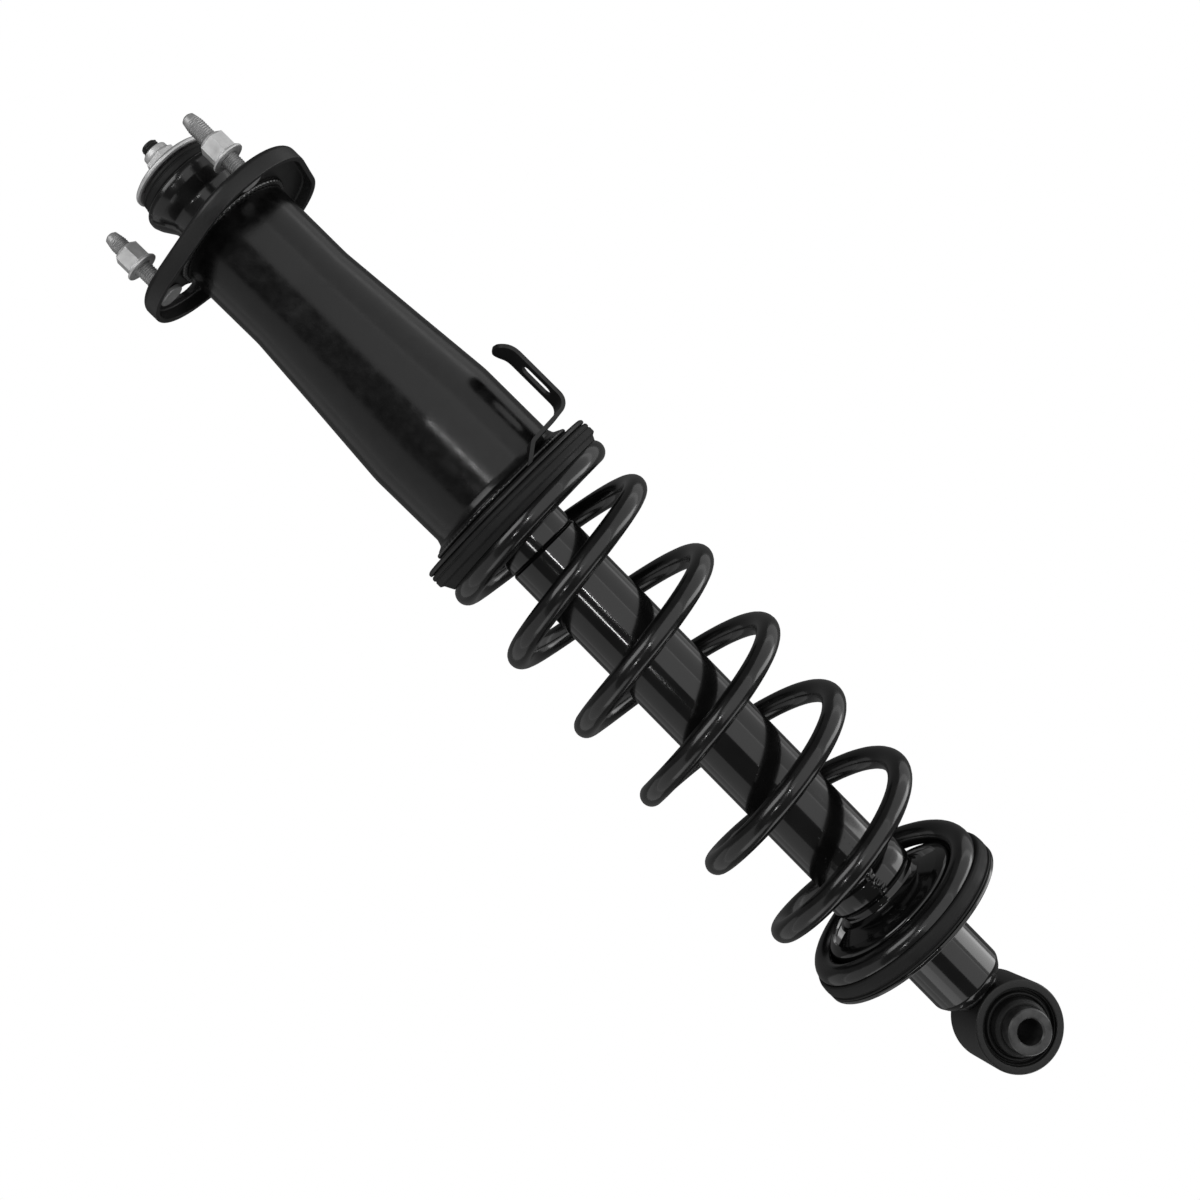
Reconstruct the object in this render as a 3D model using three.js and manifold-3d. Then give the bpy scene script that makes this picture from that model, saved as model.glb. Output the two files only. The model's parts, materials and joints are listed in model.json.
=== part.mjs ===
// Rear coil-over strut assembly: a tower tube with a three-stud top mount, a coil spring between two
// seats, and a twin-tube damper with a bushed lower eye.
// Millimetres, +Z up. The origin is on the tower tube's axis, at the upper face of the mount flange.

import * as THREE from "three";
import { mergeVertices } from "three/addons/utils/BufferGeometryUtils.js";
import Module from "manifold-3d";

const wasm = await Module();
wasm.setup();

// ---------------------------------------------------------------- driving dimensions

const GAP = 0.3;               // clearance between pieces that touch on the real strut
const ROUND = 24;              // facets round a large turned piece
const ROUND_SMALL = 16;        // facets round a small turned piece

const TILT = 0.0195;           // sideways slope of the damper axis against the tower axis
const PIVOT_Z = 29;            // height where the two axes cross, in the top bushings

const FLANGE_T = 3.2;          // mount flange plate thickness
const FLANGE_DEPTH = 10.5;     // overall depth with its turned-down lip
const FLANGE_CORNER_R = 41.5;  // radius of each of the three corners
const FLANGE_CORNER_C = 21.6;  // distance of each corner's centre from the axis
const LIP_T = 3;
const STUD_RADIUS = 48.3;      // distance of the studs from the axis
const STUD_ANGLES = [171, 291, 51];
const STUD_R = 5;              // M10
const STUD_TIP_Z = 40;
const NUT_BASE_Z = [15.8, 10.4, 13];

const SLOT_ANGLE = 146;        // degrees; direction of the flange's slot
const SLOT_RADIUS = 46.5;
const SLOT_R = 6.3;
const SLOT_HALF = 4.5;

const TUBE_TOP_R = 34.2;       // tower tube
const TUBE_R = 42.5;
const TUBE_T = 2.5;
const TUBE_BOTTOM_Z = -206.7;
const NECK_R = 22.5;           // neck of the mount cup, through the flange
const CUP_R = 28.7;
const CUP_T = 2.4;
const WEB_TOP_Z = 30;          // top of the mount cup, between the two bushings

const ROD_R = 7;
const ROD_STUB_R = 5;          // M10 end of the piston rod
const ROD_SHOULDER_Z = 5;
const ROD_TIP_Z = 59;
const WASHER_R = 25.4;
const BUSHING_R = 24.8;

const SEAT_R = 59.4;
const SEAT_TOP_Z = -207;
const SEAT_T = 2.2;

const WIRE_R = 6.6;            // coil spring
const COIL_R = 54.9;           // mean radius of the active coils
const COIL_END_R = 51.4;       // mean radius of the two closed end coils
const COIL_TOP_Z = -225.4;
const COIL_BOTTOM_Z = -522.7;
const COIL_PITCH = 52.6;
const COIL_ZERO = -9;          // degrees; direction of turn 0, from which the turns count downwards
const COIL_START = -0.2;
const COIL_END = 6.7;
const COIL_STEPS = 130;
const COIL_EASE = 0.8;         // turns over which the pitch eases in
const COIL_EASE_OUT = 0.35;    // and out
const COIL_OPENING = 0.1;      // pitches that the last active half turn drops by, besides its own
const COIL_LEAN = 2.9;         // the active coils lean down by this much at their radius
const COIL_LEAN_TURN = -0.1;   // turn that they lean towards
const COIL_LEAVES = 0.1;       // turn where the wire leaves the upper isolator

const DAMPER_R = 22.6;
const DAMPER_T = 1.8;
const DAMPER_NECK_R = 20.5;
const DAMPER_NECK_Z = -243;
const DAMPER_TOP_Z = -226;
const DAMPER_BOTTOM_Z = -587.5;
const LOWER_SEAT_Z = -530.4;   // upper face of the lower spring seat's brim
const LOWER_SEAT_R = 60.2;
const BOSS_R = 43.7;           // raised middle of the lower spring seat, inside the end coil
const COLLAR_LOW_Z = -505.3;

const EYE_Z = -614.8;          // lower eye; its axis is along Y
const EYE_R = 26;
const EYE_BORE_R = 21.3;
const EYE_HALF = 18;
const SLEEVE_R = 12.8;
const SLEEVE_BORE_R = 7.3;     // for an M14 bolt
const SLEEVE_HALF = 31;

const BRACKET_TURN = 8;        // degrees; direction in which the line bracket's arm points
const BRACKET_SIDE = -40.5;    // sideways offset of its centre plane from the tower axis
const BRACKET_W = 18;
const BRACKET_T = 2.2;

// ---------------------------------------------------------------- materials

const finish = (color, roughness, metalness) =>
  new THREE.MeshStandardMaterial({ color, roughness, metalness });

const MATERIALS = {
  glossBlack: finish(0x121213, 0.3, 0.2),
  satinBlack: finish(0x1e1e20, 0.5, 0.2),
  zinc: finish(0xd2d4d6, 0.35, 0.9),
  dullSteel: finish(0x8a8b8c, 0.55, 0.8),
  darkSteel: finish(0x3d3e40, 0.5, 0.8),
  chrome: finish(0xdcdee0, 0.12, 1),
  rubber: finish(0x1a1a1a, 0.85, 0),
  foam: finish(0xb9a67c, 0.8, 0),
  sintered: finish(0x6f6a62, 0.6, 0.7),
  ptfe: finish(0x3a4a44, 0.5, 0),
};

// ---------------------------------------------------------------- geometry helpers

const degrees = THREE.MathUtils.degToRad;

/** A lathe solid about Z from a closed outline of [radius, z] points, or from a Shape. */
function turned(outline, segments = ROUND) {
  let points = Array.isArray(outline)
    ? outline.map(([r, z]) => new THREE.Vector2(r, z))
    : outline.extractPoints(3).shape;
  if (points[0].distanceTo(points.at(-1)) < 1e-6) points = points.slice(0, -1);
  if (THREE.ShapeUtils.area(points) < 0) points.reverse();
  const onAxis = points.findIndex((p, i) => p.x < 1e-6 && points.at(i - 1).x < 1e-6);
  if (onAxis >= 0) points = [...points.slice(onAxis), ...points.slice(0, onAxis)];
  else points.push(points[0].clone());
  return new THREE.LatheGeometry(points, segments).rotateX(Math.PI / 2);
}

/** A plain ring, with small chamfers on its outer corners where a chamfer is given. */
function ring(outer, inner, low, high, segments = ROUND, chamfer = 0) {
  if (chamfer === 0) return turned([[inner, low], [outer, low], [outer, high], [inner, high]], segments);
  return turned([
    [inner, low], [outer - chamfer, low], [outer, low + chamfer],
    [outer, high - chamfer], [outer - chamfer, high], [inner, high],
  ], segments);
}

/** A plain solid cylinder along Z. */
function cylinder(radius, low, high, segments = ROUND_SMALL) {
  return turned([[0, low], [radius, low], [radius, high], [0, high]], segments);
}

/** A flat outline in X and Y, extruded between two heights. */
function extruded(shape, low, high, curveSegments = 7) {
  const options = { depth: high - low, bevelEnabled: false, curveSegments };
  return new THREE.ExtrudeGeometry(shape, options).translate(0, 0, low);
}

/** Lays a geometry that is drawn about Z along the eye's axis, at the eye's height. */
function alongEye(geometry) {
  return geometry.rotateX(Math.PI / 2).translate(0, 0, EYE_Z);
}

function toSolid(geometry) {
  const bare = geometry.clone();
  bare.deleteAttribute("normal");
  bare.deleteAttribute("uv");
  const merged = mergeVertices(bare, 1e-4);
  const vertProperties = new Float32Array(merged.attributes.position.array);
  const triVerts = new Uint32Array(merged.index.array);
  return new wasm.Manifold(new wasm.Mesh({ numProp: 3, vertProperties, triVerts }));
}

function toGeometry(solid) {
  const mesh = solid.getMesh();
  const geometry = new THREE.BufferGeometry();
  geometry.setAttribute("position", new THREE.BufferAttribute(mesh.vertProperties, 3));
  geometry.setIndex(new THREE.BufferAttribute(mesh.triVerts, 1));
  geometry.computeVertexNormals();
  return geometry;
}

function cut(geometry, ...tools) {
  return toGeometry(tools.reduce((solid, tool) => solid.subtract(toSolid(tool)), toSolid(geometry)));
}

function join(geometry, ...others) {
  return toGeometry(others.reduce((solid, other) => solid.add(toSolid(other)), toSolid(geometry)));
}

function common(geometry, other) {
  return toGeometry(toSolid(geometry).intersect(toSolid(other)));
}

// ---------------------------------------------------------------- assembly frames

const group = new THREE.Group();

/** Pieces that stand on the damper axis. Heights in it are the tower's own heights. */
const damperAxis = new THREE.Group();
const damperHeights = new THREE.Group();
damperAxis.position.z = PIVOT_Z;
damperAxis.rotation.y = Math.atan(TILT);
damperHeights.position.z = -PIVOT_Z;
damperAxis.add(damperHeights);
group.add(damperAxis);
damperAxis.updateMatrixWorld(true);
const toDamper = damperHeights.matrixWorld.clone().invert();

function add(parent, name, geometry, material) {
  const mesh = new THREE.Mesh(geometry, material);
  mesh.name = name;
  parent.add(mesh);
}

// ---------------------------------------------------------------- top mount

/** The flange's outline, a triangle with large round corners, drawn inset by the given distance. */
function flangeOutline(inset) {
  const shape = new THREE.Shape();
  const radius = FLANGE_CORNER_R - inset;
  for (const angle of STUD_ANGLES) {
    const middle = degrees(angle);
    shape.absarc(
      FLANGE_CORNER_C * Math.cos(middle), FLANGE_CORNER_C * Math.sin(middle), radius,
      middle - Math.PI / 3, middle + Math.PI / 3, false,
    );
  }
  return shape;
}

/** An oblong hole tangential to the bolt circle. */
function slotCutter() {
  const slot = new THREE.Shape();
  slot.absarc(SLOT_RADIUS, SLOT_HALF, SLOT_R, 0, Math.PI, false);
  slot.absarc(SLOT_RADIUS, -SLOT_HALF, SLOT_R, Math.PI, 2 * Math.PI, false);
  return extruded(slot, -FLANGE_DEPTH - 1, 1, 5).rotateZ(degrees(SLOT_ANGLE));
}

function mountFlange() {
  const edge = 1.2;
  const lower = extruded(flangeOutline(0), -FLANGE_DEPTH, -edge);
  const upper = extruded(flangeOutline(edge), -edge - 0.1, 0);
  const hollow = extruded(flangeOutline(LIP_T), -FLANGE_DEPTH - 1, -FLANGE_T);
  const neckHole = cylinder(NECK_R + GAP + 0.2, -FLANGE_DEPTH, 1, ROUND);
  const studHoles = STUD_ANGLES.map((angle) =>
    cylinder(STUD_R + GAP, -FLANGE_DEPTH, 1).translate(STUD_RADIUS, 0, 0).rotateZ(degrees(angle)));
  return cut(join(lower, upper), hollow, neckHole, slotCutter(), ...studHoles);
}

/** A press-in stud: a flat head under the plate and a shank with a tapered lead-in tip. */
function mountStud() {
  const headTop = -FLANGE_T - GAP;
  return turned([
    [0, headTop - 2.4], [7, headTop - 2.4], [7.4, headTop - 2], [7.4, headTop], [STUD_R, headTop],
    [STUD_R, STUD_TIP_Z - 9], [3.9, STUD_TIP_Z - 3.5], [3.4, STUD_TIP_Z - 0.8], [2.4, STUD_TIP_Z],
    [0, STUD_TIP_Z],
  ], ROUND_SMALL);
}

/** A hexagon nut with chamfered corners over a thin round flange. */
function flangeNut(acrossFlats, flangeR, flangeT, height, boreR) {
  const circumradius = acrossFlats / 2 / Math.cos(Math.PI / 6);
  const hexagon = new THREE.Shape();
  for (let side = 0; side < 6; side += 1) {
    const angle = (side * Math.PI) / 3;
    const corner = [circumradius * Math.cos(angle), circumradius * Math.sin(angle)];
    if (side === 0) hexagon.moveTo(...corner);
    else hexagon.lineTo(...corner);
  }
  const envelope = turned([
    [0, 0], [circumradius, 0], [circumradius, height - 1.6], [circumradius - 1.6, height], [0, height],
  ], ROUND_SMALL);
  const body = common(extruded(hexagon, 0, height), envelope);
  const skirt = turned([
    [0, 0], [flangeR, 0], [flangeR, flangeT * 0.5], [acrossFlats / 2 - 0.5, flangeT + 1.2],
    [0, flangeT + 1.2],
  ], ROUND_SMALL);
  return cut(join(body, skirt), cylinder(boreR, -1, height + 1));
}

/** The pressed cup that holds both bushings and stands up through the flange. */
function mountCup() {
  const webBottom = WEB_TOP_Z - CUP_T;
  const skirtR = TUBE_TOP_R - TUBE_T - GAP;
  return turned([
    [skirtR, -19], [skirtR, -8], [skirtR - 3.6, -4.2], [NECK_R + 1.4, -3.8], [NECK_R, -2.9], [NECK_R, 14],
    [NECK_R + 1.2, 17.5], [CUP_R - 1.6, 22.5], [CUP_R, 25.8], [CUP_R - 0.6, 28.4], [CUP_R - 2.6, WEB_TOP_Z],
    [14, WEB_TOP_Z], [14, webBottom], [CUP_R - 4.2, webBottom], [CUP_R - 2.6, 25.6], [CUP_R - 4, 23.2],
    [NECK_R - 1.2, 18], [NECK_R - CUP_T, 14.4], [NECK_R - CUP_T, -4], [NECK_R + 0.6, -6],
    [skirtR - 4.6, -6.2], [skirtR - CUP_T, -8.9], [skirtR - CUP_T, -19],
  ]);
}

/** Both bushings are cut by the tilted spacer sleeve that runs through them. */
const sleeveClearance = cylinder(8 + GAP, -20, 60).translate(0, 0, -PIVOT_Z);
sleeveClearance.applyMatrix4(damperAxis.matrixWorld);

function upperBushing() {
  const low = WEB_TOP_Z + GAP;
  const top = 38.8;
  return cut(turned([
    [6, 24.4], [13.2, 24.4], [13.6, 25.4], [13.6, low], [BUSHING_R - 1, low], [BUSHING_R, low + 1.2],
    [BUSHING_R, low + 4.4], [BUSHING_R - 1, low + 5.4], [BUSHING_R - 0.8, top - 1.6],
    [BUSHING_R - 2.4, top - 0.7], [20, top], [6, top],
  ]), sleeveClearance);
}

function lowerBushing() {
  const innerNeck = NECK_R - CUP_T - 0.4;
  return cut(turned([
    [6, 9.4], [16.6, 9.4], [innerNeck, 11.6], [innerNeck, 17.6], [23.2, 24.6], [22.4, 27.2],
    [14.4, 27.2], [14.4, 24], [6, 24],
  ]), sleeveClearance);
}

function upperWasher() {
  return turned([
    [ROD_STUB_R + GAP, 39.6], [20.5, 39.6], [WASHER_R - 0.9, 38.7], [WASHER_R, 39.4], [WASHER_R, 40.7],
    [WASHER_R - 1.2, 41.9], [19, 42.9], [ROD_STUB_R + GAP, 42.9],
  ]);
}

function lowerWasher() {
  return ring(17.4, ROD_STUB_R + GAP, ROD_SHOULDER_Z + GAP, 8.5);
}

function spacerSleeve() {
  return ring(8, ROD_STUB_R + GAP, 8.8, 39.3, ROUND_SMALL);
}

function addTopMount() {
  add(group, "mount_flange", mountFlange(), MATERIALS.satinBlack);
  add(group, "mount_cup", mountCup(), MATERIALS.glossBlack);
  STUD_ANGLES.forEach((angle, index) => {
    const place = new THREE.Group();
    place.rotation.z = degrees(angle);
    group.add(place);
    add(place, `mount_stud_${index + 1}`, mountStud().translate(STUD_RADIUS, 0, 0), MATERIALS.dullSteel);
    const nut = flangeNut(14, 9.6, 2, 13.4, STUD_R + GAP).rotateZ(0.25 + index);
    add(place, `mount_nut_${index + 1}`, nut.translate(STUD_RADIUS, 0, NUT_BASE_Z[index]), MATERIALS.zinc);
  });
  add(group, "upper_bushing", upperBushing(), MATERIALS.rubber);
  add(group, "lower_bushing", lowerBushing(), MATERIALS.rubber);
  add(damperHeights, "upper_washer", upperWasher(), MATERIALS.zinc);
  add(damperHeights, "lower_washer", lowerWasher(), MATERIALS.dullSteel);
  add(damperHeights, "spacer_sleeve", spacerSleeve(), MATERIALS.dullSteel);
  const rodNut = flangeNut(17, 11.4, 2.4, 11.4, ROD_STUB_R + GAP).translate(0, 0, 43.2);
  add(damperHeights, "rod_nut", rodNut, MATERIALS.zinc);
}

// ---------------------------------------------------------------- tower tube, upper seat and bracket

function towerTube() {
  const outer = [
    [TUBE_TOP_R, -FLANGE_T - GAP], [TUBE_TOP_R, -56], [38.4, -106], [41.2, -138], [TUBE_R, -155],
    [TUBE_R, -198], [TUBE_R + 1.2, -202.2], [TUBE_R + 4.6, -204.2], [TUBE_R + 5, TUBE_BOTTOM_Z],
  ];
  const inner = outer.slice(0, 6).map(([r, z]) => [r - TUBE_T, z]).reverse();
  inner.unshift([TUBE_R - TUBE_T + 1, TUBE_BOTTOM_Z]);
  return turned([...outer, ...inner]);
}

/** A flat ring with a rolled outer edge and a short collar that centres the isolator. */
function upperSpringSeat() {
  const low = SEAT_TOP_Z - SEAT_T;
  return turned([
    [38.5, SEAT_TOP_Z], [SEAT_R - 1, SEAT_TOP_Z], [SEAT_R, SEAT_TOP_Z - 1], [SEAT_R, low - 1.1],
    [SEAT_R - 1.8, low - 1.1], [SEAT_R - 2.2, low], [41, low], [41, -221], [38.5, -221],
  ]);
}

function upperIsolator() {
  const top = SEAT_TOP_Z - SEAT_T - GAP;
  const ringed = turned([
    [41.4, top], [56.6, top], [57, -210.9], [59.6, -210.9], [59.8, -213.4], [59.3, -214.2], [59.8, -215],
    [59.6, -218.3], [57.8, -218.8], [55.2, -224], [43.4, -224], [42.4, -221.6], [41.4, -220.4],
  ]);
  return cut(ringed, wire(WIRE_R + 0.5, 1));
}

/**
 * A bent strip: its side outline in (arm direction, z) is extruded over the strip's width, rounded at
 * the tip, slotted in the upright, and coped to the tower tube.
 */
function lineBracket() {
  const bent = new THREE.Shape();
  const half = BRACKET_T / 2;
  const middle = [
    [2.3, -209.8], [17.1, -199.6], [40, -198.6], [43.9, -196.8], [46.3, -192.2], [46.3, -160],
    [44.9, -156.4], [40.9, -150],
  ].map(([p, z]) => new THREE.Vector2(p, z));
  const direction = (index) => middle[index + 1].clone().sub(middle[index]).normalize();
  const offset = (index, side) => {
    const before = direction(Math.max(index - 1, 0));
    const after = direction(Math.min(index, middle.length - 2));
    const mitre = before.clone().add(after).normalize();
    const distance = side / mitre.dot(after);
    return [middle[index].x - mitre.y * distance, middle[index].y + mitre.x * distance];
  };
  bent.moveTo(...offset(0, -half));
  for (let index = 1; index < middle.length; index += 1) bent.lineTo(...offset(index, -half));
  for (let index = middle.length - 1; index >= 0; index -= 1) bent.lineTo(...offset(index, half));
  const strip = extruded(bent, -BRACKET_W / 2, BRACKET_W / 2).rotateX(Math.PI / 2);

  const face = new THREE.Shape();
  const tip = -148;
  const corner = 8;
  face.moveTo(-BRACKET_W / 2, -215);
  face.lineTo(BRACKET_W / 2, -215);
  face.lineTo(BRACKET_W / 2, tip - corner);
  face.absarc(BRACKET_W / 2 - corner, tip - corner, corner, 0, Math.PI / 2, false);
  face.absarc(-BRACKET_W / 2 + corner, tip - corner, corner, Math.PI / 2, Math.PI, false);
  const slot = new THREE.Shape();
  slot.absarc(0, -171.5, 4.2, 0, Math.PI, false);
  slot.absarc(0, -184, 4.2, Math.PI, 2 * Math.PI, false);
  const across = (shape, low, high) =>
    extruded(shape, low, high, 6).rotateX(Math.PI / 2).rotateZ(Math.PI / 2);

  const plate = cut(common(strip, across(face, 5, 80)), across(slot, 41.5, 52));
  plate.translate(0, BRACKET_SIDE, 0).rotateZ(degrees(BRACKET_TURN));
  return cut(plate, turned([
    [0, -230], [60, -230], [60, SEAT_TOP_Z + GAP], [TUBE_R + 5 + GAP, TUBE_BOTTOM_Z],
    [TUBE_R + 5 + GAP, -203.8], [TUBE_R + 1.6, -201.6], [TUBE_R + GAP, -198], [TUBE_R + GAP, -140], [0, -140],
  ]));
}

// ---------------------------------------------------------------- coil spring

/** How many turns the coils have climbed down at a turn, easing in at both ends. */
function climbed(turn) {
  const eased = (past, ease) => (past <= 0 ? 0 : past < ease ? past ** 2 / (2 * ease) : past - ease / 2);
  const total = (COIL_TOP_Z - COIL_BOTTOM_Z) / COIL_PITCH;
  const lands = COIL_LEAVES + total - COIL_OPENING + (COIL_EASE - COIL_EASE_OUT) / 2;
  return eased(turn - COIL_LEAVES, COIL_EASE) - eased(turn - lands, COIL_EASE_OUT)
    + COIL_OPENING * THREE.MathUtils.smoothstep(turn, 5.4, 6);
}

class CoilPath extends THREE.Curve {
  constructor(from, to) {
    super();
    this.from = from;
    this.to = to;
  }

  getPoint(t, target = new THREE.Vector3()) {
    const turn = this.from + (this.to - this.from) * t;
    const smooth = THREE.MathUtils.smoothstep;
    const open = smooth(turn, 0.35, 1.1) * (1 - smooth(turn, 5.3, 6.05));
    const radius = COIL_END_R + (COIL_R - COIL_END_R) * open;
    const sweep = turn * 2 * Math.PI;
    const angle = degrees(COIL_ZERO) - sweep;
    const middle = COIL_TOP_Z - climbed(turn) * COIL_PITCH;
    const down = (middle - COIL_TOP_Z) / (COIL_BOTTOM_Z - COIL_TOP_Z);
    const shift = TILT * (COIL_BOTTOM_Z - PIVOT_Z) * down;
    const seated = smooth(turn, 5.6, 6.1);
    const lean = COIL_LEAN * open * Math.cos((turn - COIL_LEAN_TURN) * 2 * Math.PI)
      + TILT * COIL_END_R * seated * Math.cos(sweep);
    return target.set(shift + radius * Math.cos(angle), radius * Math.sin(angle), middle - lean);
  }
}

/** The spring wire, or the pocket for it when it is drawn thicker and a step longer at both ends. */
function wire(radius, extraSteps = 0) {
  const step = (COIL_END - COIL_START) / COIL_STEPS;
  const section = new THREE.Shape();
  section.absarc(0, 0, radius, 0, 2 * Math.PI, false);
  return new THREE.ExtrudeGeometry(section, {
    steps: COIL_STEPS + 2 * extraSteps,
    curveSegments: 4,
    bevelEnabled: false,
    extrudePath: new CoilPath(COIL_START - extraSteps * step, COIL_END + extraSteps * step),
  });
}

function addTower() {
  add(group, "tower_tube", towerTube(), MATERIALS.glossBlack);
  add(group, "upper_spring_seat", upperSpringSeat(), MATERIALS.satinBlack);
  add(group, "upper_isolator", upperIsolator(), MATERIALS.rubber);
  add(group, "line_bracket", lineBracket(), MATERIALS.satinBlack);
  add(group, "coil_spring", wire(WIRE_R), MATERIALS.glossBlack);
}

// ---------------------------------------------------------------- piston rod and its pieces

function pistonRod() {
  return turned([
    [0, -309], [4.6, -309], [4.6, -287.6], [ROD_R, -287.6], [ROD_R, -276.4], [ROD_R - 0.8, -275.6],
    [ROD_R - 0.8, -273.6], [ROD_R, -272.8], [ROD_R, 4], [ROD_R - 1, ROD_SHOULDER_Z],
    [ROD_STUB_R, ROD_SHOULDER_Z], [ROD_STUB_R, ROD_TIP_Z - 1], [ROD_STUB_R - 1, ROD_TIP_Z], [0, ROD_TIP_Z],
  ], ROUND_SMALL);
}

/** The jounce bumper: a stack of three bulges that taper towards the damper. */
function bumpStop() {
  const outline = new THREE.Shape();
  outline.moveTo(ROD_R + 0.6, -68);
  outline.lineTo(14, -68);
  for (const [radius, low, high] of [[17.5, -67, -49], [20.5, -46, -26], [21.5, -23, -8]]) {
    outline.quadraticCurveTo(radius + 3, (low + high) / 2, radius - 3, high);
  }
  outline.lineTo(16, 4);
  outline.lineTo(ROD_R + 0.6, 4);
  return turned(outline);
}

function addRod() {
  add(damperHeights, "piston_rod", pistonRod(), MATERIALS.chrome);
  add(damperHeights, "bump_stop", bumpStop(), MATERIALS.foam);
  add(damperHeights, "rebound_stop", ring(12.6, ROD_R + GAP, -272, -264, ROUND_SMALL, 1.5), MATERIALS.rubber);
  const retainer = ring(11.8, ROD_R - 0.5, -275.3, -273.9, ROUND_SMALL);
  add(damperHeights, "rebound_retainer", retainer, MATERIALS.darkSteel);
  const piston = turned([
    [4.9, -301], [15, -301], [15, -299.6], [13.9, -299.6], [13.9, -290], [15, -290], [15, -288], [4.9, -288],
  ], ROUND_SMALL);
  add(damperHeights, "piston", piston, MATERIALS.sintered);
  add(damperHeights, "piston_band", ring(15.4, 14.2, -299.2, -290.4, ROUND_SMALL), MATERIALS.ptfe);
  add(damperHeights, "piston_nut", flangeNut(13, 7.6, 1.6, 6, 4.9).rotateX(Math.PI).translate(0, 0, -301.4),
    MATERIALS.dullSteel);
}

// ---------------------------------------------------------------- damper body

/** The outer tube: swaged neck rolled in over the seal, rounded closed bottom. */
function damperTube() {
  const bore = DAMPER_R - DAMPER_T;
  const bottom = DAMPER_BOTTOM_Z;
  return turned([
    [0, bottom], [14.6, bottom], [18.6, bottom + 1.2], [21.4, bottom + 4.2], [DAMPER_R, bottom + 9],
    [DAMPER_R, DAMPER_NECK_Z - 1], [DAMPER_R - 0.5, DAMPER_NECK_Z + 0.3], [DAMPER_NECK_R, DAMPER_NECK_Z + 1],
    [DAMPER_NECK_R, DAMPER_TOP_Z - 1], [DAMPER_NECK_R - 1, DAMPER_TOP_Z], [14, DAMPER_TOP_Z],
    [14, DAMPER_TOP_Z - 1.6], [DAMPER_NECK_R - DAMPER_T, DAMPER_TOP_Z - 1.6],
    [DAMPER_NECK_R - DAMPER_T, DAMPER_NECK_Z], [bore, DAMPER_NECK_Z - 2], [bore, bottom + 8],
    [17, bottom + 3], [0, bottom + 3],
  ]);
}

/** The cap pressed over the damper's neck, which the jounce bumper lands on. */
function strikerCap() {
  return turned([
    [DAMPER_NECK_R + GAP, -241.6], [22.1, -241.6], [22.1, -223.6], [21.2, -222.4], [9, -222.4],
    [9, -224.4], [DAMPER_NECK_R + GAP, -224.4],
  ]);
}

function rodGuide() {
  return turned([
    [ROD_R + 0.1, -252], [14.6, -252], [14.6, -244.9], [18.4, -244.9], [18.4, -231.4], [12, -231.4],
    [ROD_R + 0.1, -233],
  ]);
}

function rodSeal() {
  return turned([
    [ROD_R + 0.1, -230.6], [18.3, -230.9], [18.3, -228], [10.4, -227.9], [ROD_R + 1.6, -225.4],
    [ROD_R + 0.4, -225.4], [ROD_R + 1.2, -228.4],
  ], ROUND_SMALL);
}

function baseValve() {
  return turned([
    [0, -577], [13, -577], [15.2, -575], [15.2, -568.6], [11, -568.6], [11, -566.6], [4, -566.6],
    [4, -561], [0, -561],
  ], ROUND_SMALL);
}

/** The lower spring seat: a domed boss with two arc-shaped windows and a hub, and a brim with a lip. */
function lowerSpringSeat() {
  const hubR = DAMPER_R + GAP;
  const brim = LOWER_SEAT_Z - 2.2;
  const pan = turned([
    [hubR, -514.5], [26, -513.9], [38.2, -516.7], [BOSS_R - 3, -518.4], [BOSS_R - 2.2, -519.6],
    [BOSS_R - 2.2, brim], [55.9, brim], [55.9, -535.8], [LOWER_SEAT_R, -535.8], [LOWER_SEAT_R, -533.5],
    [58.1, -533.5], [58.1, LOWER_SEAT_Z], [BOSS_R, LOWER_SEAT_Z], [BOSS_R, -518.6], [BOSS_R - 1.8, -516.5],
    [38.5, -514.4], [27, -511.3], [hubR + 2.2, -509.4], [hubR + 2.2, COLLAR_LOW_Z - 0.4],
    [hubR, COLLAR_LOW_Z - 0.4],
  ]);
  const windows = [18, 145].map((angle) => {
    const window = new THREE.Shape();
    const span = degrees(35);
    window.absarc(0, 0, 38.5, -span, span, false);
    window.absarc(0, 0, 30, span, -span, true);
    return extruded(window, -522, -508, 4).rotateZ(degrees(angle));
  });
  return cut(pan, ...windows);
}

/** The lower isolator: it wraps round the brim's edge and has the pocket that the end coil lies in. */
function lowerIsolator() {
  const pad = turned([
    [BOSS_R + 0.5, LOWER_SEAT_Z + GAP], [58.4, LOWER_SEAT_Z + GAP], [58.4, -533.2], [LOWER_SEAT_R, -533.2],
    [LOWER_SEAT_R, -526.6], [LOWER_SEAT_R - 1, -525], [58.9, -524.2], [52.5, -524.2], [49, -527.6],
    [BOSS_R + 0.5, -527.6],
  ]);
  return cut(pad, wire(WIRE_R + 0.5, 1).applyMatrix4(toDamper));
}

// ---------------------------------------------------------------- lower eye

/** The weld that fills the valley between the damper's round end and the eye. */
function eyeWeld() {
  const neck = turned([
    [0, -596], [13.5, -596], [14.6, -590], [14, DAMPER_BOTTOM_Z - GAP], [0, DAMPER_BOTTOM_Z - GAP],
  ], ROUND_SMALL);
  return cut(neck, alongEye(cylinder(EYE_R + GAP, -30, 30, ROUND)));
}

/** The bonded rubber of the eye, with a lip round the sleeve and a valley next to the ring. */
function eyeRubber() {
  const side = [
    [EYE_BORE_R - GAP, 15], [19.6, 15.6], [18.4, 13], [17, 13], [16, 20], [14.4, 22.4],
    [SLEEVE_R + GAP, 22.4],
  ];
  const mirrored = side.map(([r, z]) => [r, -z]).reverse();
  return alongEye(turned([...side, ...mirrored]));
}

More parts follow.
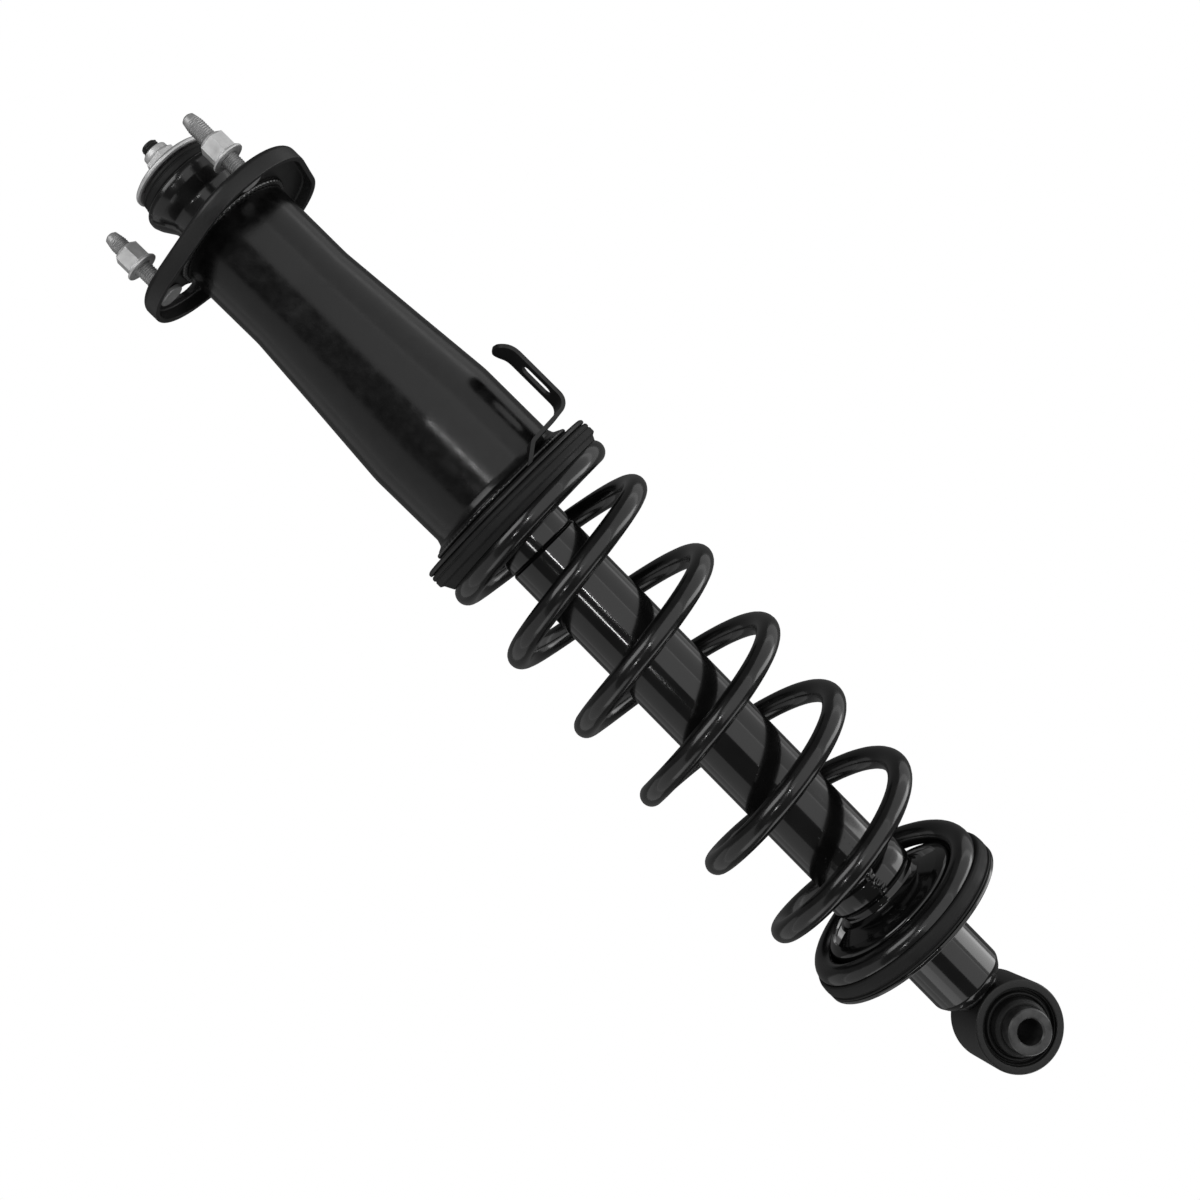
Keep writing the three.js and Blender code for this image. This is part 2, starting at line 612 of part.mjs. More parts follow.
function eyeSleeve() {
  const bevel = 1;
  return alongEye(turned([
    [SLEEVE_BORE_R, -SLEEVE_HALF + bevel], [SLEEVE_BORE_R + bevel, -SLEEVE_HALF],
    [SLEEVE_R - bevel, -SLEEVE_HALF], [SLEEVE_R, -SLEEVE_HALF + bevel], [SLEEVE_R, SLEEVE_HALF - bevel],
    [SLEEVE_R - bevel, SLEEVE_HALF], [SLEEVE_BORE_R + bevel, SLEEVE_HALF],
    [SLEEVE_BORE_R, SLEEVE_HALF - bevel],
  ]));
}

function addDamper() {
  add(damperHeights, "damper_tube", damperTube(), MATERIALS.glossBlack);
  add(damperHeights, "striker_cap", strikerCap(), MATERIALS.satinBlack);
  add(damperHeights, "rod_guide", rodGuide(), MATERIALS.sintered);
  add(damperHeights, "rod_seal", rodSeal(), MATERIALS.rubber);
  add(damperHeights, "pressure_tube", ring(17, 15.6, -578, -245.3), MATERIALS.dullSteel);
  add(damperHeights, "base_valve", baseValve(), MATERIALS.sintered);
  const collar = ring(26.6, DAMPER_R + GAP, COLLAR_LOW_Z, -490.5, ROUND, 1);
  add(damperHeights, "seat_collar", collar, MATERIALS.glossBlack);
  add(damperHeights, "lower_spring_seat", lowerSpringSeat(), MATERIALS.glossBlack);
  add(damperHeights, "lower_isolator", lowerIsolator(), MATERIALS.rubber);
  add(damperHeights, "eye_weld", eyeWeld(), MATERIALS.satinBlack);
  const eyeRing = ring(EYE_R, EYE_BORE_R, -EYE_HALF, EYE_HALF, ROUND, 0.8);
  add(damperHeights, "eye_ring", alongEye(eyeRing), MATERIALS.satinBlack);
  add(damperHeights, "eye_rubber", eyeRubber(), MATERIALS.rubber);
  add(damperHeights, "eye_sleeve", eyeSleeve(), MATERIALS.darkSteel);
}

addTopMount();
addTower();
addRod();
addDamper();

export default group;
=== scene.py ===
"""Looks for a coil-over strut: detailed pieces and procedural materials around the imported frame.

Everything is in metres in the end. Outlines are written in millimetres, as (radius, height) pairs in
the CAD's own heights, and `build` turns them into metres.
"""

import json
import math

import bmesh
import bpy
import numpy as np
from mathutils import Matrix, Vector, noise


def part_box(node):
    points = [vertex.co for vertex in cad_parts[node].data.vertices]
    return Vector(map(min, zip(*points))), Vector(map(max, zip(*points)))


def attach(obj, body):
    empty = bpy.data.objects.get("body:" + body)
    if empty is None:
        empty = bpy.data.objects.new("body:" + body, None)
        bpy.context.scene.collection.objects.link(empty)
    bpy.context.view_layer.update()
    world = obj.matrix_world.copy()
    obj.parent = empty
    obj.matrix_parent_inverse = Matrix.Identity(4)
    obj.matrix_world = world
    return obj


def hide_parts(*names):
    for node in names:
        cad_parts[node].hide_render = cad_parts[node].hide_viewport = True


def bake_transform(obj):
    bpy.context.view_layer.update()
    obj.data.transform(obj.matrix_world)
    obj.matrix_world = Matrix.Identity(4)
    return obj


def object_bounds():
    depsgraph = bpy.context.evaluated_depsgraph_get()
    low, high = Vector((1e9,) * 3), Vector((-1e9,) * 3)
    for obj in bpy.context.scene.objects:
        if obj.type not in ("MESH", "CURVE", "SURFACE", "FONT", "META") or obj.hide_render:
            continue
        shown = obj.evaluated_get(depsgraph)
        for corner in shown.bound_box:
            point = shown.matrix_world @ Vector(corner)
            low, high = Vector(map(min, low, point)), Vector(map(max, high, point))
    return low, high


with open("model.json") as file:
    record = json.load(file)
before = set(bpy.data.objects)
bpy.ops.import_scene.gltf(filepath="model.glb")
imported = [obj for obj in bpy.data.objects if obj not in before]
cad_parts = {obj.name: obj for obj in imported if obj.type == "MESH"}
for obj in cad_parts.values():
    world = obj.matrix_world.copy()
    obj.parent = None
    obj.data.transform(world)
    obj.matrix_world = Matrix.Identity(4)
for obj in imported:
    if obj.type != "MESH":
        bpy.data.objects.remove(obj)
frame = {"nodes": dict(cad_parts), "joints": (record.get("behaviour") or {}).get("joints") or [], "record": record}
cad_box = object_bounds()

MM = 0.001
FULL = 2 * math.pi

# ---------------------------------------------------------------- frame: axes and extents

JOINTS = {joint["name"]: joint for joint in frame["joints"]}
SLIDE_AXIS = Vector(JOINTS["damper_slide"]["axis"])
EYE_CENTRE = Vector(JOINTS["lower_bush_twist"]["pos_m"])
PIVOT_Z = EYE_CENTRE.z - EYE_CENTRE.x * SLIDE_AXIS.z / SLIDE_AXIS.x
TILT = math.atan2(SLIDE_AXIS.x, SLIDE_AXIS.z)

UPRIGHT = Matrix.Identity(4)
DAMPER = (Matrix.Translation((0, 0, PIVOT_Z)) @ Matrix.Rotation(TILT, 4, "Y")
          @ Matrix.Translation((0, 0, -PIVOT_Z)))
ALONG_EYE = Matrix.Translation(EYE_CENTRE) @ Matrix.Rotation(math.pi / 2, 4, "X")


def extent(node, place=UPRIGHT):
    """(lowest height, highest height, largest radius) of a CAD node in an axis frame, in millimetres."""
    back = place.inverted()
    points = np.array([back @ v.co for v in frame["nodes"][node].data.vertices]) / MM
    return points[:, 2].min(), points[:, 2].max(), np.hypot(points[:, 0], points[:, 1]).max()


# ---------------------------------------------------------------- materials

def new_material(name):
    material = bpy.data.materials.new(name)
    material.use_nodes = True
    return material, material.node_tree.nodes["Principled BSDF"]


def texture(material, kind, scale, detail=3.0):
    """A procedural texture in the object's own metres."""
    tree = material.node_tree
    where = tree.nodes.new("ShaderNodeTexCoord")
    made = tree.nodes.new(kind)
    made.inputs["Scale"].default_value = scale
    if "Detail" in made.inputs:
        made.inputs["Detail"].default_value = detail
    tree.links.new(where.outputs["Object"], made.inputs["Vector"])
    return made.outputs["Fac"] if "Fac" in made.outputs else made.outputs["Distance"]


def vary_number(material, source, socket, low, high):
    tree = material.node_tree
    remap = tree.nodes.new("ShaderNodeMapRange")
    remap.inputs["From Min"].default_value = 0.3
    remap.inputs["From Max"].default_value = 0.7
    remap.inputs["To Min"].default_value = low
    remap.inputs["To Max"].default_value = high
    tree.links.new(source, remap.inputs["Value"])
    tree.links.new(remap.outputs["Result"], socket)


def vary_colour(material, source, socket, dark, light):
    tree = material.node_tree
    ramp = tree.nodes.new("ShaderNodeValToRGB")
    ramp.color_ramp.elements[0].position = 0.32
    ramp.color_ramp.elements[0].color = (*dark, 1)
    ramp.color_ramp.elements[1].position = 0.68
    ramp.color_ramp.elements[1].color = (*light, 1)
    tree.links.new(source, ramp.inputs["Fac"])
    tree.links.new(ramp.outputs["Color"], socket)


def add_bump(material, shader, layers):
    """Layers of (source, height in metres, strength), each bending the normal of the one before."""
    tree = material.node_tree
    normal = None
    for source, distance, strength in layers:
        bump = tree.nodes.new("ShaderNodeBump")
        bump.inputs["Distance"].default_value = distance
        bump.inputs["Strength"].default_value = strength
        tree.links.new(source, bump.inputs["Height"])
        if normal is not None:
            tree.links.new(normal, bump.inputs["Normal"])
        normal = bump.outputs["Normal"]
    tree.links.new(normal, shader.inputs["Normal"])


def painted(name, dark, light, rough, peel, coat=0.0, patches=45):
    """Paint over steel: slight colour drift, uneven gloss, orange peel and fine dust nibs."""
    material, shader = new_material(name)
    drift = texture(material, "ShaderNodeTexNoise", patches, 4)
    fine = texture(material, "ShaderNodeTexNoise", 420, 2)
    nibs = texture(material, "ShaderNodeTexNoise", 2600, 2)
    vary_colour(material, drift, shader.inputs["Base Color"], dark, light)
    vary_number(material, drift, shader.inputs["Roughness"], *rough)
    shader.inputs["Coat Weight"].default_value = coat
    shader.inputs["Coat Roughness"].default_value = 0.06
    shader.inputs["Specular IOR Level"].default_value = 0.5
    add_bump(material, shader, [(fine, 0.0004, peel), (nibs, 0.00008, peel)])
    return material


def bare_metal(name, dark, light, rough, grain, metallic=1.0):
    """Plated or plain metal: clouded tone, uneven roughness and a fine grain."""
    material, shader = new_material(name)
    cloud = texture(material, "ShaderNodeTexNoise", 180, 5)
    fine = texture(material, "ShaderNodeTexNoise", 3200, 2)
    vary_colour(material, cloud, shader.inputs["Base Color"], dark, light)
    vary_number(material, cloud, shader.inputs["Roughness"], *rough)
    shader.inputs["Metallic"].default_value = metallic
    add_bump(material, shader, [(fine, 0.00006, grain), (cloud, 0.0003, grain * 0.4)])
    return material


def moulded(name, dark, light, rough, grain, cells=False):
    """Rubber or foam: dull, with a fine moulded grain, or with open cells."""
    material, shader = new_material(name)
    cloud = texture(material, "ShaderNodeTexNoise", 70, 4)
    kind = "ShaderNodeTexVoronoi" if cells else "ShaderNodeTexNoise"
    fine = texture(material, kind, 900 if cells else 2200, 2)
    vary_colour(material, cloud, shader.inputs["Base Color"], dark, light)
    vary_number(material, cloud, shader.inputs["Roughness"], *rough)
    shader.inputs["Specular IOR Level"].default_value = 0.35
    add_bump(material, shader, [(fine, 0.00015, grain)])
    return material


def grey(value, warm=0.0):
    return (value * (1 + warm), value, value * (1 - warm))


MATERIALS = {
    "gloss_black_paint": painted("gloss_black_paint", grey(0.004), grey(0.007), (0.09, 0.16), 0.02, 0.5),
    "satin_black_paint": painted("satin_black_paint", grey(0.006), grey(0.012), (0.34, 0.48), 0.2),
    "zinc_plate": bare_metal("zinc_plate", grey(0.70), grey(0.86), (0.34, 0.5), 0.2, 0.6),
    "dull_steel": bare_metal("dull_steel", grey(0.44), grey(0.56), (0.42, 0.56), 0.07, 0.6),
    "dark_steel": bare_metal("dark_steel", grey(0.07), grey(0.12), (0.36, 0.52), 0.3, 0.8),
    "hard_chrome": bare_metal("hard_chrome", grey(0.70), grey(0.80), (0.06, 0.12), 0.03),
    "black_rubber": moulded("black_rubber", grey(0.006), grey(0.012), (0.5, 0.7), 0.35),
    "urethane_foam": moulded("urethane_foam", (0.40, 0.31, 0.16), (0.52, 0.42, 0.24),
                             (0.7, 0.9), 0.6, True),
    "sintered_iron": bare_metal("sintered_iron", grey(0.16, 0.04), grey(0.26, 0.04),
                                (0.5, 0.7), 0.6, 0.7),
    "ptfe_band": moulded("ptfe_band", (0.03, 0.06, 0.05), (0.05, 0.09, 0.08), (0.4, 0.5), 0.1),
}
# the tower tube's thin, mottled coat, and the slightly dusty coat of the spring and the mount cup
THIN_PAINT = painted("thin_black_paint", grey(0.003), grey(0.007), (0.17, 0.27), 0.06, 0.0, 160)
SPRING_PAINT = painted("spring_black_paint", grey(0.005), grey(0.009), (0.17, 0.25), 0.05, 0.35, 120)


# ---------------------------------------------------------------- mesh helpers

def build(name, vertices, faces, place=UPRIGHT, sharp=38.0):
    """A smooth-shaded mesh object from millimetre points, with edges over `sharp` degrees kept crisp."""
    mesh = bpy.data.meshes.new(name)
    mesh.from_pydata([place @ (Vector(v) * MM) for v in vertices], [], faces)
    work = bmesh.new()
    work.from_mesh(mesh)
    bmesh.ops.remove_doubles(work, verts=work.verts, dist=1e-6)
    bmesh.ops.recalc_face_normals(work, faces=work.faces)
    work.to_mesh(mesh)
    work.free()
    made = bpy.data.objects.new(name, mesh)
    bpy.context.scene.collection.objects.link(made)
    crisp(made, sharp)
    return made


def crisp(piece, sharp=38.0):
    piece.data.shade_smooth()
    piece.data.set_sharp_from_angle(angle=math.radians(sharp))


def grid_faces(rows, columns, closed_rows):
    """Quads of a grid that wraps round in its columns, and in its rows too if they are closed."""
    last = rows if closed_rows else rows - 1
    return [
        (r * columns + c, r * columns + (c + 1) % columns,
         (r + 1) % rows * columns + (c + 1) % columns, (r + 1) % rows * columns + c)
        for r in range(last) for c in range(columns)
    ]


def capped_faces(rows, columns):
    """The quads of a tube of rings, and a flat cap on each of its ends."""
    faces = grid_faces(rows, columns, False)
    faces.append(tuple(range(columns)))
    faces.append(tuple((rows - 1) * columns + c for c in range(columns)))
    return faces


def rounded(outline, closed=True):
    """An outline of (r, z) or (r, z, radius) points with those corners turned into arcs."""
    count = len(outline)
    points = []
    for index, corner in enumerate(outline):
        here = Vector(corner[:2])
        radius = corner[2] if len(corner) > 2 else 0
        if radius == 0 or (not closed and index in (0, count - 1)):
            points.append(here)
            continue
        before = Vector(outline[index - 1][:2]) - here
        after = Vector(outline[(index + 1) % count][:2]) - here
        opening = before.angle(after)
        reach = min(radius / math.tan(opening / 2), 0.49 * before.length, 0.49 * after.length)
        radius = reach * math.tan(opening / 2)
        middle = (before.normalized() + after.normalized()).normalized()
        centre = here + middle * (radius / math.sin(opening / 2))
        start = here + before.normalized() * reach - centre
        end = here + after.normalized() * reach - centre
        sweep = start.angle_signed(end)
        steps = max(2, math.ceil(abs(sweep) / math.radians(14)))
        for step in range(steps + 1):
            angle = -sweep * step / steps
            cos, sin = math.cos(angle), math.sin(angle)
            turned_start = Vector((start.x * cos - start.y * sin, start.x * sin + start.y * cos))
            points.append(centre + turned_start)
    return points


def turned(name, outline, place=UPRIGHT, around=128, sharp=38.0):
    """A piece of revolution. The outline closes on itself, or its two ends are on the axis."""
    on_axis = outline[0][0] == 0 and outline[-1][0] == 0
    points = rounded(outline, closed=not on_axis)
    angles = [FULL * c / around for c in range(around)]
    vertices = [(p.x * math.cos(a), p.x * math.sin(a), p.y) for p in points for a in angles]
    return build(name, vertices, grid_faces(len(points), around, not on_axis), place, sharp)


def hexagon_radius(angle, across_flats):
    """Distance from a hexagon's centre to its side, in a direction."""
    sector = (angle + math.pi / 6) % (math.pi / 3) - math.pi / 6
    return across_flats / 2 / math.cos(sector)


def thread_depth(angle, height, pitch):
    """0 at a thread's crest and 1 at its root."""
    phase = (height / pitch - angle / FULL) % 1.0
    return min(1.0, max(0.0, abs(phase - 0.5) * 2.6 - 0.15))


def threaded(name, radius, pitch, low, high, envelope, place=UPRIGHT, around=36):
    """A threaded shank. The envelope gives the largest radius at each height, to taper the ends."""
    step = pitch / 6
    heights = [low + step * i for i in range(int((high - low) / step) + 1)] + [high]
    vertices = []
    for height in heights:
        for column in range(around):
            angle = FULL * column / around
            crest = radius - 0.61 * pitch * thread_depth(angle, height, pitch)
            limit = min(crest, envelope(height))
            vertices.append((limit * math.cos(angle), limit * math.sin(angle), height))
    return build(name, vertices, capped_faces(len(heights), around), place, 50)


def boolean(piece, cutter):
    """Cuts a piece with a cutter object, which is then removed."""
    modifier = piece.modifiers.new("cut", "BOOLEAN")
    modifier.operation = "DIFFERENCE"
    modifier.solver = "EXACT"
    modifier.object = cutter
    apply_modifiers(piece)
    bpy.data.objects.remove(cutter)


def apply_modifiers(piece):
    bpy.context.view_layer.update()
    graph = bpy.context.evaluated_depsgraph_get()
    mesh = bpy.data.meshes.new_from_object(piece.evaluated_get(graph), depsgraph=graph)
    piece.modifiers.clear()
    piece.data = mesh


def soften(piece, width, segments=2, angle=40.0):
    """Rounds the edges that are sharper than an angle."""
    bevel = piece.modifiers.new("soften", "BEVEL")
    bevel.width = width * MM
    bevel.segments = segments
    bevel.limit_method = "ANGLE"
    bevel.angle_limit = math.radians(angle)
    bevel.harden_normals = False
    apply_modifiers(piece)
    crisp(piece)


def prism(name, outline, low, high, place=UPRIGHT):
    """A flat outline in X and Y between two heights, as a cutter."""
    count = len(outline)
    vertices = [(x, y, z) for z in (low, high) for x, y in outline]
    faces = [tuple(range(count)), tuple(range(count, 2 * count))]
    faces += [(i, (i + 1) % count, (i + 1) % count + count, i + count) for i in range(count)]
    return build(name, vertices, faces, place)


def oblong(length, radius, steps=10):
    """An oblong outline along Y: two half circles of a radius, whose centres are `length` apart."""
    points = []
    for end, turn in ((1, 0), (-1, math.pi)):
        for step in range(steps + 1):
            angle = turn + math.pi * step / steps
            points.append((radius * math.cos(angle), end * length / 2 + radius * math.sin(angle)))
    return points


def weld_bead(name, radius, height, size, place=UPRIGHT, start=0.0, sweep=FULL, seed=0.0):
    """A rippled weld bead round an axis, whole or over part of a turn, with rounded ends."""
    columns = 12
    rows = max(24, int(radius * sweep / 0.8))
    whole = abs(sweep - FULL) < 1e-6
    vertices = []
    for row in range(rows):
        share = row / (rows if whole else rows - 1)
        angle = start + sweep * share
        fade = 1.0 if whole else min(1.0, 6 * min(share, 1 - share) + 0.05)
        ripple = 0.12 * math.sin(angle * radius * 1.9)
        lump = 0.35 * noise.noise(Vector((math.cos(angle) * 4, math.sin(angle) * 4, seed)))
        thick = size * fade * (1 + ripple + lump)
        for column in range(columns):
            turn = FULL * column / columns
            out = radius + thick * math.cos(turn)
            up = height + thick * math.sin(turn)
            vertices.append((out * math.cos(angle), out * math.sin(angle), up))
    faces = grid_faces(rows, columns, True) if whole else capped_faces(rows, columns)
    return build(name, vertices, faces, place, 60)


def finish_piece(piece, body, slot, *nodes, look=None):
    """Gives a piece its material, attaches it to the body it moves with, and hides the CAD nodes it stands in for.
    """
    piece.data.materials.clear()
    piece.data.materials.append(look or MATERIALS[slot])
    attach(piece, body)
    if nodes:
        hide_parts(*nodes)
    return piece


# ---------------------------------------------------------------- top mount

FLANGE_LOW, FLANGE_TOP, FLANGE_REACH = extent("mount_flange")
STUD_SPOTS = [(Vector(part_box(f"mount_stud_{i}")[0]) + Vector(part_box(f"mount_stud_{i}")[1])) / 2 / MM
              for i in (1, 2, 3)]
STUD_ANGLES = [math.atan2(spot.y, spot.x) for spot in STUD_SPOTS]
CORNER_RADIUS = 41.5
CORNER_OFFSET = FLANGE_REACH - CORNER_RADIUS
PLATE = 3.2
LIP = 3.0
NECK_HOLE = 23.0
SLOT_ANGLE = math.radians(146)
SLOT_RADIUS = 46.5
THREAD_R, THREAD_BORE, THREAD_PITCH = 4.95, 4.7, 1.25      # M10


def flange_ring(inset, height, steps=26):
    """The flange's outline at an inset: an arc at each corner, joined by straight sides."""
    points = []
    for angle in sorted(a % FULL for a in STUD_ANGLES):
        centre = Vector((math.cos(angle), math.sin(angle))) * CORNER_OFFSET
        for step in range(steps):
            turn = angle - math.pi / 3 + FULL / 3 * step / (steps - 1)
            out = centre + Vector((math.cos(turn), math.sin(turn))) * (CORNER_RADIUS - inset)
            points.append((out.x, out.y, height))
        side = angle + math.pi / 3
        across = Vector((math.cos(side), math.sin(side))) * (CORNER_RADIUS - inset)
        following = Vector((math.cos(angle + FULL / 3), math.sin(angle + FULL / 3))) * CORNER_OFFSET
        for step in range(1, 6):
            out = centre.lerp(following, step / 6) + across
            points.append((out.x, out.y, height))
    return points


def make_flange():
    outer = flange_ring(0, 0)
    hole_top = [(NECK_HOLE * x / math.hypot(x, y), NECK_HOLE * y / math.hypot(x, y), FLANGE_TOP)
                for x, y, _ in outer]
    hole_low = [(x, y, FLANGE_TOP - PLATE) for x, y, _ in hole_top]
    edge = rounded([(NECK_HOLE, FLANGE_TOP), (0, FLANGE_TOP, 3.4), (0, FLANGE_LOW, 0.7),
                    (LIP, FLANGE_LOW, 0.7), (LIP, FLANGE_TOP - PLATE, 1.4),
                    (NECK_HOLE, FLANGE_TOP - PLATE)],
                   closed=False)
    rings = [hole_top] + [flange_ring(p.x, p.y) for p in edge[1:-1]] + [hole_low]
    vertices = [v for ring in rings for v in ring]
    flange = build("mount_flange_fine", vertices, grid_faces(len(rings), len(outer), True))
    turn = Matrix.Rotation(SLOT_ANGLE, 4, "Z") @ Matrix.Translation((SLOT_RADIUS * MM, 0, 0))
    boolean(flange, prism("slot_cutter", oblong(9, 6.3), -20, 10, turn))
    soften(flange, 0.35, 2, 60)
    finish_piece(flange, "tower", "satin_black_paint", "mount_flange")


def make_stud(index):
    node = f"mount_stud_{index}"
    spot = STUD_SPOTS[index - 1]
    low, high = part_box(node)[0].z / MM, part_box(node)[1].z / MM
    place = Matrix.Translation((spot.x * MM, spot.y * MM, 0))

    def envelope(height):
        drop = high - height
        return min(5.0, 2.3 + 1.5 * drop, 3.5 + 0.22 * drop)

    shank = threaded(f"{node}_fine", THREAD_R, THREAD_PITCH, FLANGE_TOP - 1, high, envelope, place)
    head = turned(f"{node}_head", [(0, low), (7.4, low, 0.8), (7.4, low + 2.4, 0.3), (5.2, low + 2.4),
                                   (5.2, FLANGE_TOP - 0.5), (0, FLANGE_TOP - 0.5)], place, 64)
    finish_piece(shank, "tower", "dull_steel", node)
    finish_piece(head, "tower", "dull_steel")


def make_nut(name, node, place, low, flats, skirt, height, collar=0.0):
    """A hexagon flange nut: dished skirt, chamfered corners, and a threaded bore with a lead-in."""
    around = 120
    corner = flats / math.sqrt(3)
    hexagon_top = height - collar
    outline = rounded([(skirt - 0.6, 0), (skirt, 0.2, 0.4), (skirt, 1.2, 0.5),
                       (flats / 2 + 0.3, 3.0, 1.2), (corner, 3.6), (corner, hexagon_top - 1.5, 0.3),
                       (flats / 2 - 0.9, hexagon_top)], closed=False)
    if collar:
        outline += rounded([(flats / 2 - 1.0, hexagon_top), (flats / 2 - 1.2, height - 0.5, 1.2),
                            (THREAD_BORE + 1.6, height)], closed=False)
    vertices = []
    for p in outline:
        for column in range(around):
            angle = FULL * column / around
            hexagonal = p.y > 1.3 and p.y <= hexagon_top + 1e-6
            reach = min(p.x, hexagon_radius(angle, flats)) if hexagonal else p.x
            if p.y > 1.3 and p.x < flats / 2 + 3 and p.y < 3.4:
                reach = max(reach, min(hexagon_radius(angle, flats), corner) if p.y > 2.6 else p.x)
            vertices.append((reach * math.cos(angle), reach * math.sin(angle), p.y))
    rows = len(outline)
    steps = int(height / (THREAD_PITCH / 6))
    for step in range(steps + 1):
        level = height - height * step / steps
        lead_in = max(0.0, 0.9 - min(level, height - level))
        for column in range(around):
            angle = FULL * column / around
            depth = 0.5 * THREAD_PITCH * thread_depth(angle, level, THREAD_PITCH)
            reach = THREAD_BORE + max(lead_in, depth)
            vertices.append((reach * math.cos(angle), reach * math.sin(angle), level))
    rows += steps + 1
    place = place @ Matrix.Translation((0, 0, low * MM))
    nut = build(name, vertices, grid_faces(rows, around, True), place, 32)
    finish_piece(nut, "tower", "zinc_plate", node)


def make_mount_nuts():
    for index, spot in enumerate(STUD_SPOTS, start=1):
        node = f"mount_nut_{index}"
        lo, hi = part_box(node)
        twist = Matrix.Rotation(STUD_ANGLES[index - 1] + 0.25 + index - 1, 4, "Z")
        place = Matrix.Translation((spot.x * MM, spot.y * MM, 0)) @ twist
        make_nut(f"{node}_fine", node, place, lo.z / MM, 14, 9.5, (hi.z - lo.z) / MM)


def make_cup():
    low, top, skirt = extent("mount_cup")
    wall = 2.4
    cup = turned("mount_cup_fine", [
        (skirt, low, 0.6), (skirt, -8, 3), (skirt - 4, -4.1, 2), (24.2, -3.9, 1), (22.5, -2.4, 1),
        (22.5, 15, 6), (27.4, 22.6, 5), (28.8, 26.2, 2.4), (28.4, top, 2.6), (14, top, 0.4),
        (14, top - wall, 0.4),
        (25.6, top - wall, 1.4), (26, 25.6, 2), (20.2, 16.5, 5), (20.1, -4, 1), (23, -6.2, 2),
        (skirt - 4.6, -6.3, 2), (skirt - wall, -9, 2), (skirt - wall, low, 0.6),
    ], around=144)
    finish_piece(cup, "tower", "gloss_black_paint", "mount_cup", look=SPRING_PAINT)


def make_bushings():
    low, top, reach = extent("upper_bushing")
    sleeve = 8.3
    seat = extent("mount_cup")[1] + 0.2
    upper = turned("upper_bushing_fine", [
        (sleeve, low, 0.4), (13.2, low, 0.6), (13.6, seat), (reach - 0.8, seat, 0.5),
        (reach + 0.2, seat + 1.2, 1),
        (reach + 0.1, seat + 3.9, 0.8), (reach - 1.2, seat + 4.7, 0.5), (reach - 0.3, seat + 5.5, 0.7),
        (reach - 0.7, top - 1.6, 1), (reach - 2.4, top - 0.7), (20, top), (sleeve, top, 0.4),
    ], around=144)
    finish_piece(upper, "tower", "black_rubber", "upper_bushing")
    low, top, reach = extent("lower_bushing")
    lower = turned("lower_bushing_fine", [
        (sleeve, low, 0.4), (16.6, low, 0.8), (19.6, low + 2.4, 1), (19.6, 17.6, 3), (reach, 24.6, 1),
        (22.3, top, 1), (14.4, top), (14.4, 24), (sleeve, 24),
    ])
    finish_piece(lower, "tower", "black_rubber", "lower_bushing")


def make_washers():
    low, top, reach = extent("upper_washer", DAMPER)
    dished = turned("upper_washer_fine", [
        (5.2, low + 0.9, 0.2), (20, low + 0.9, 3), (reach - 1.1, low - 0.1, 0.4),
        (reach, low + 0.5, 0.5), (reach + 0.1, low + 2, 0.9), (reach - 2.2, top - 0.9, 2),
        (18, top, 4), (5.2, top, 0.3),
    ], DAMPER, 144)
    finish_piece(dished, "tower", "zinc_plate", "upper_washer")
    low, top, reach = extent("lower_washer", DAMPER)
    plain = turned("lower_washer_fine", [
        (5.2, low, 0.3), (reach, low, 0.7), (reach, top, 0.7), (5.2, top, 0.3)], DAMPER)
    finish_piece(plain, "tower", "dull_steel", "lower_washer")
    low, top, reach = extent("spacer_sleeve", DAMPER)
    sleeve = turned("spacer_sleeve_fine", [
        (5.2, low, 0.3), (reach, low, 0.4), (reach, top, 0.4), (5.2, top, 0.3)], DAMPER, 64)
    finish_piece(sleeve, "tower", "dull_steel", "spacer_sleeve")
    low, top, _ = extent("rod_nut", DAMPER)
    make_nut("rod_nut_fine", "rod_nut", DAMPER, low, 17, 11.3, top - low, collar=3.4)


# ---------------------------------------------------------------- tower tube, upper seat and bracket

TUBE_TOP_R, TUBE_R = 34.2, 42.5
TUBE_WALL = 2.5


def make_tower_tube():
    low, top, flare = extent("tower_tube")
    bore, top_bore = TUBE_R - TUBE_WALL, TUBE_TOP_R - TUBE_WALL
    outer = [(TUBE_TOP_R, top, 0.5), (TUBE_TOP_R, -56, 60), (38.4, -106, 200), (TUBE_R, -152, 60),
             (TUBE_R, -198.5, 3), (43.7, -202.2, 2.4), (flare - 0.4, -203.8, 1.2), (flare, low, 0.5)]
    inner = [(bore + 1, low, 0.4), (bore, -199, 2), (bore, -152, 60), (35.9, -106, 200),
             (top_bore, -56, 60), (top_bore, top, 0.4)]
    tube = turned("tower_tube_fine", outer + inner, around=192)
    finish_piece(tube, "tower", "gloss_black_paint", "tower_tube", look=THIN_PAINT)
    top_weld = weld_bead("tower_top_weld", 35.2, top - 0.4, 1.9, seed=3.1)
    finish_piece(top_weld, "tower", "gloss_black_paint")
    seat_weld = weld_bead("tower_seat_weld", flare + 0.4, low + 1.1, 1.3, seed=7.7)
    finish_piece(seat_weld, "tower", "gloss_black_paint")


def make_upper_seat():
    low, top, reach = extent("upper_spring_seat")
    sheet = top - 2.2
    seat = turned("upper_spring_seat_fine", [
        (38.5, top, 1.6), (49.5, top, 1.2), (50.6, top - 0.7, 0.8), (reach - 1.2, top - 0.7, 0.9),
        (reach, top - 1.6, 0.7), (reach, sheet - 1.1, 0.6), (reach - 1.8, sheet - 1.1, 0.5),
        (reach - 2.4, sheet, 0.6), (41, sheet, 1.6), (41, low, 0.6), (38.5, low, 0.6),
    ], around=192)
    finish_piece(seat, "tower", "satin_black_paint", "upper_spring_seat")


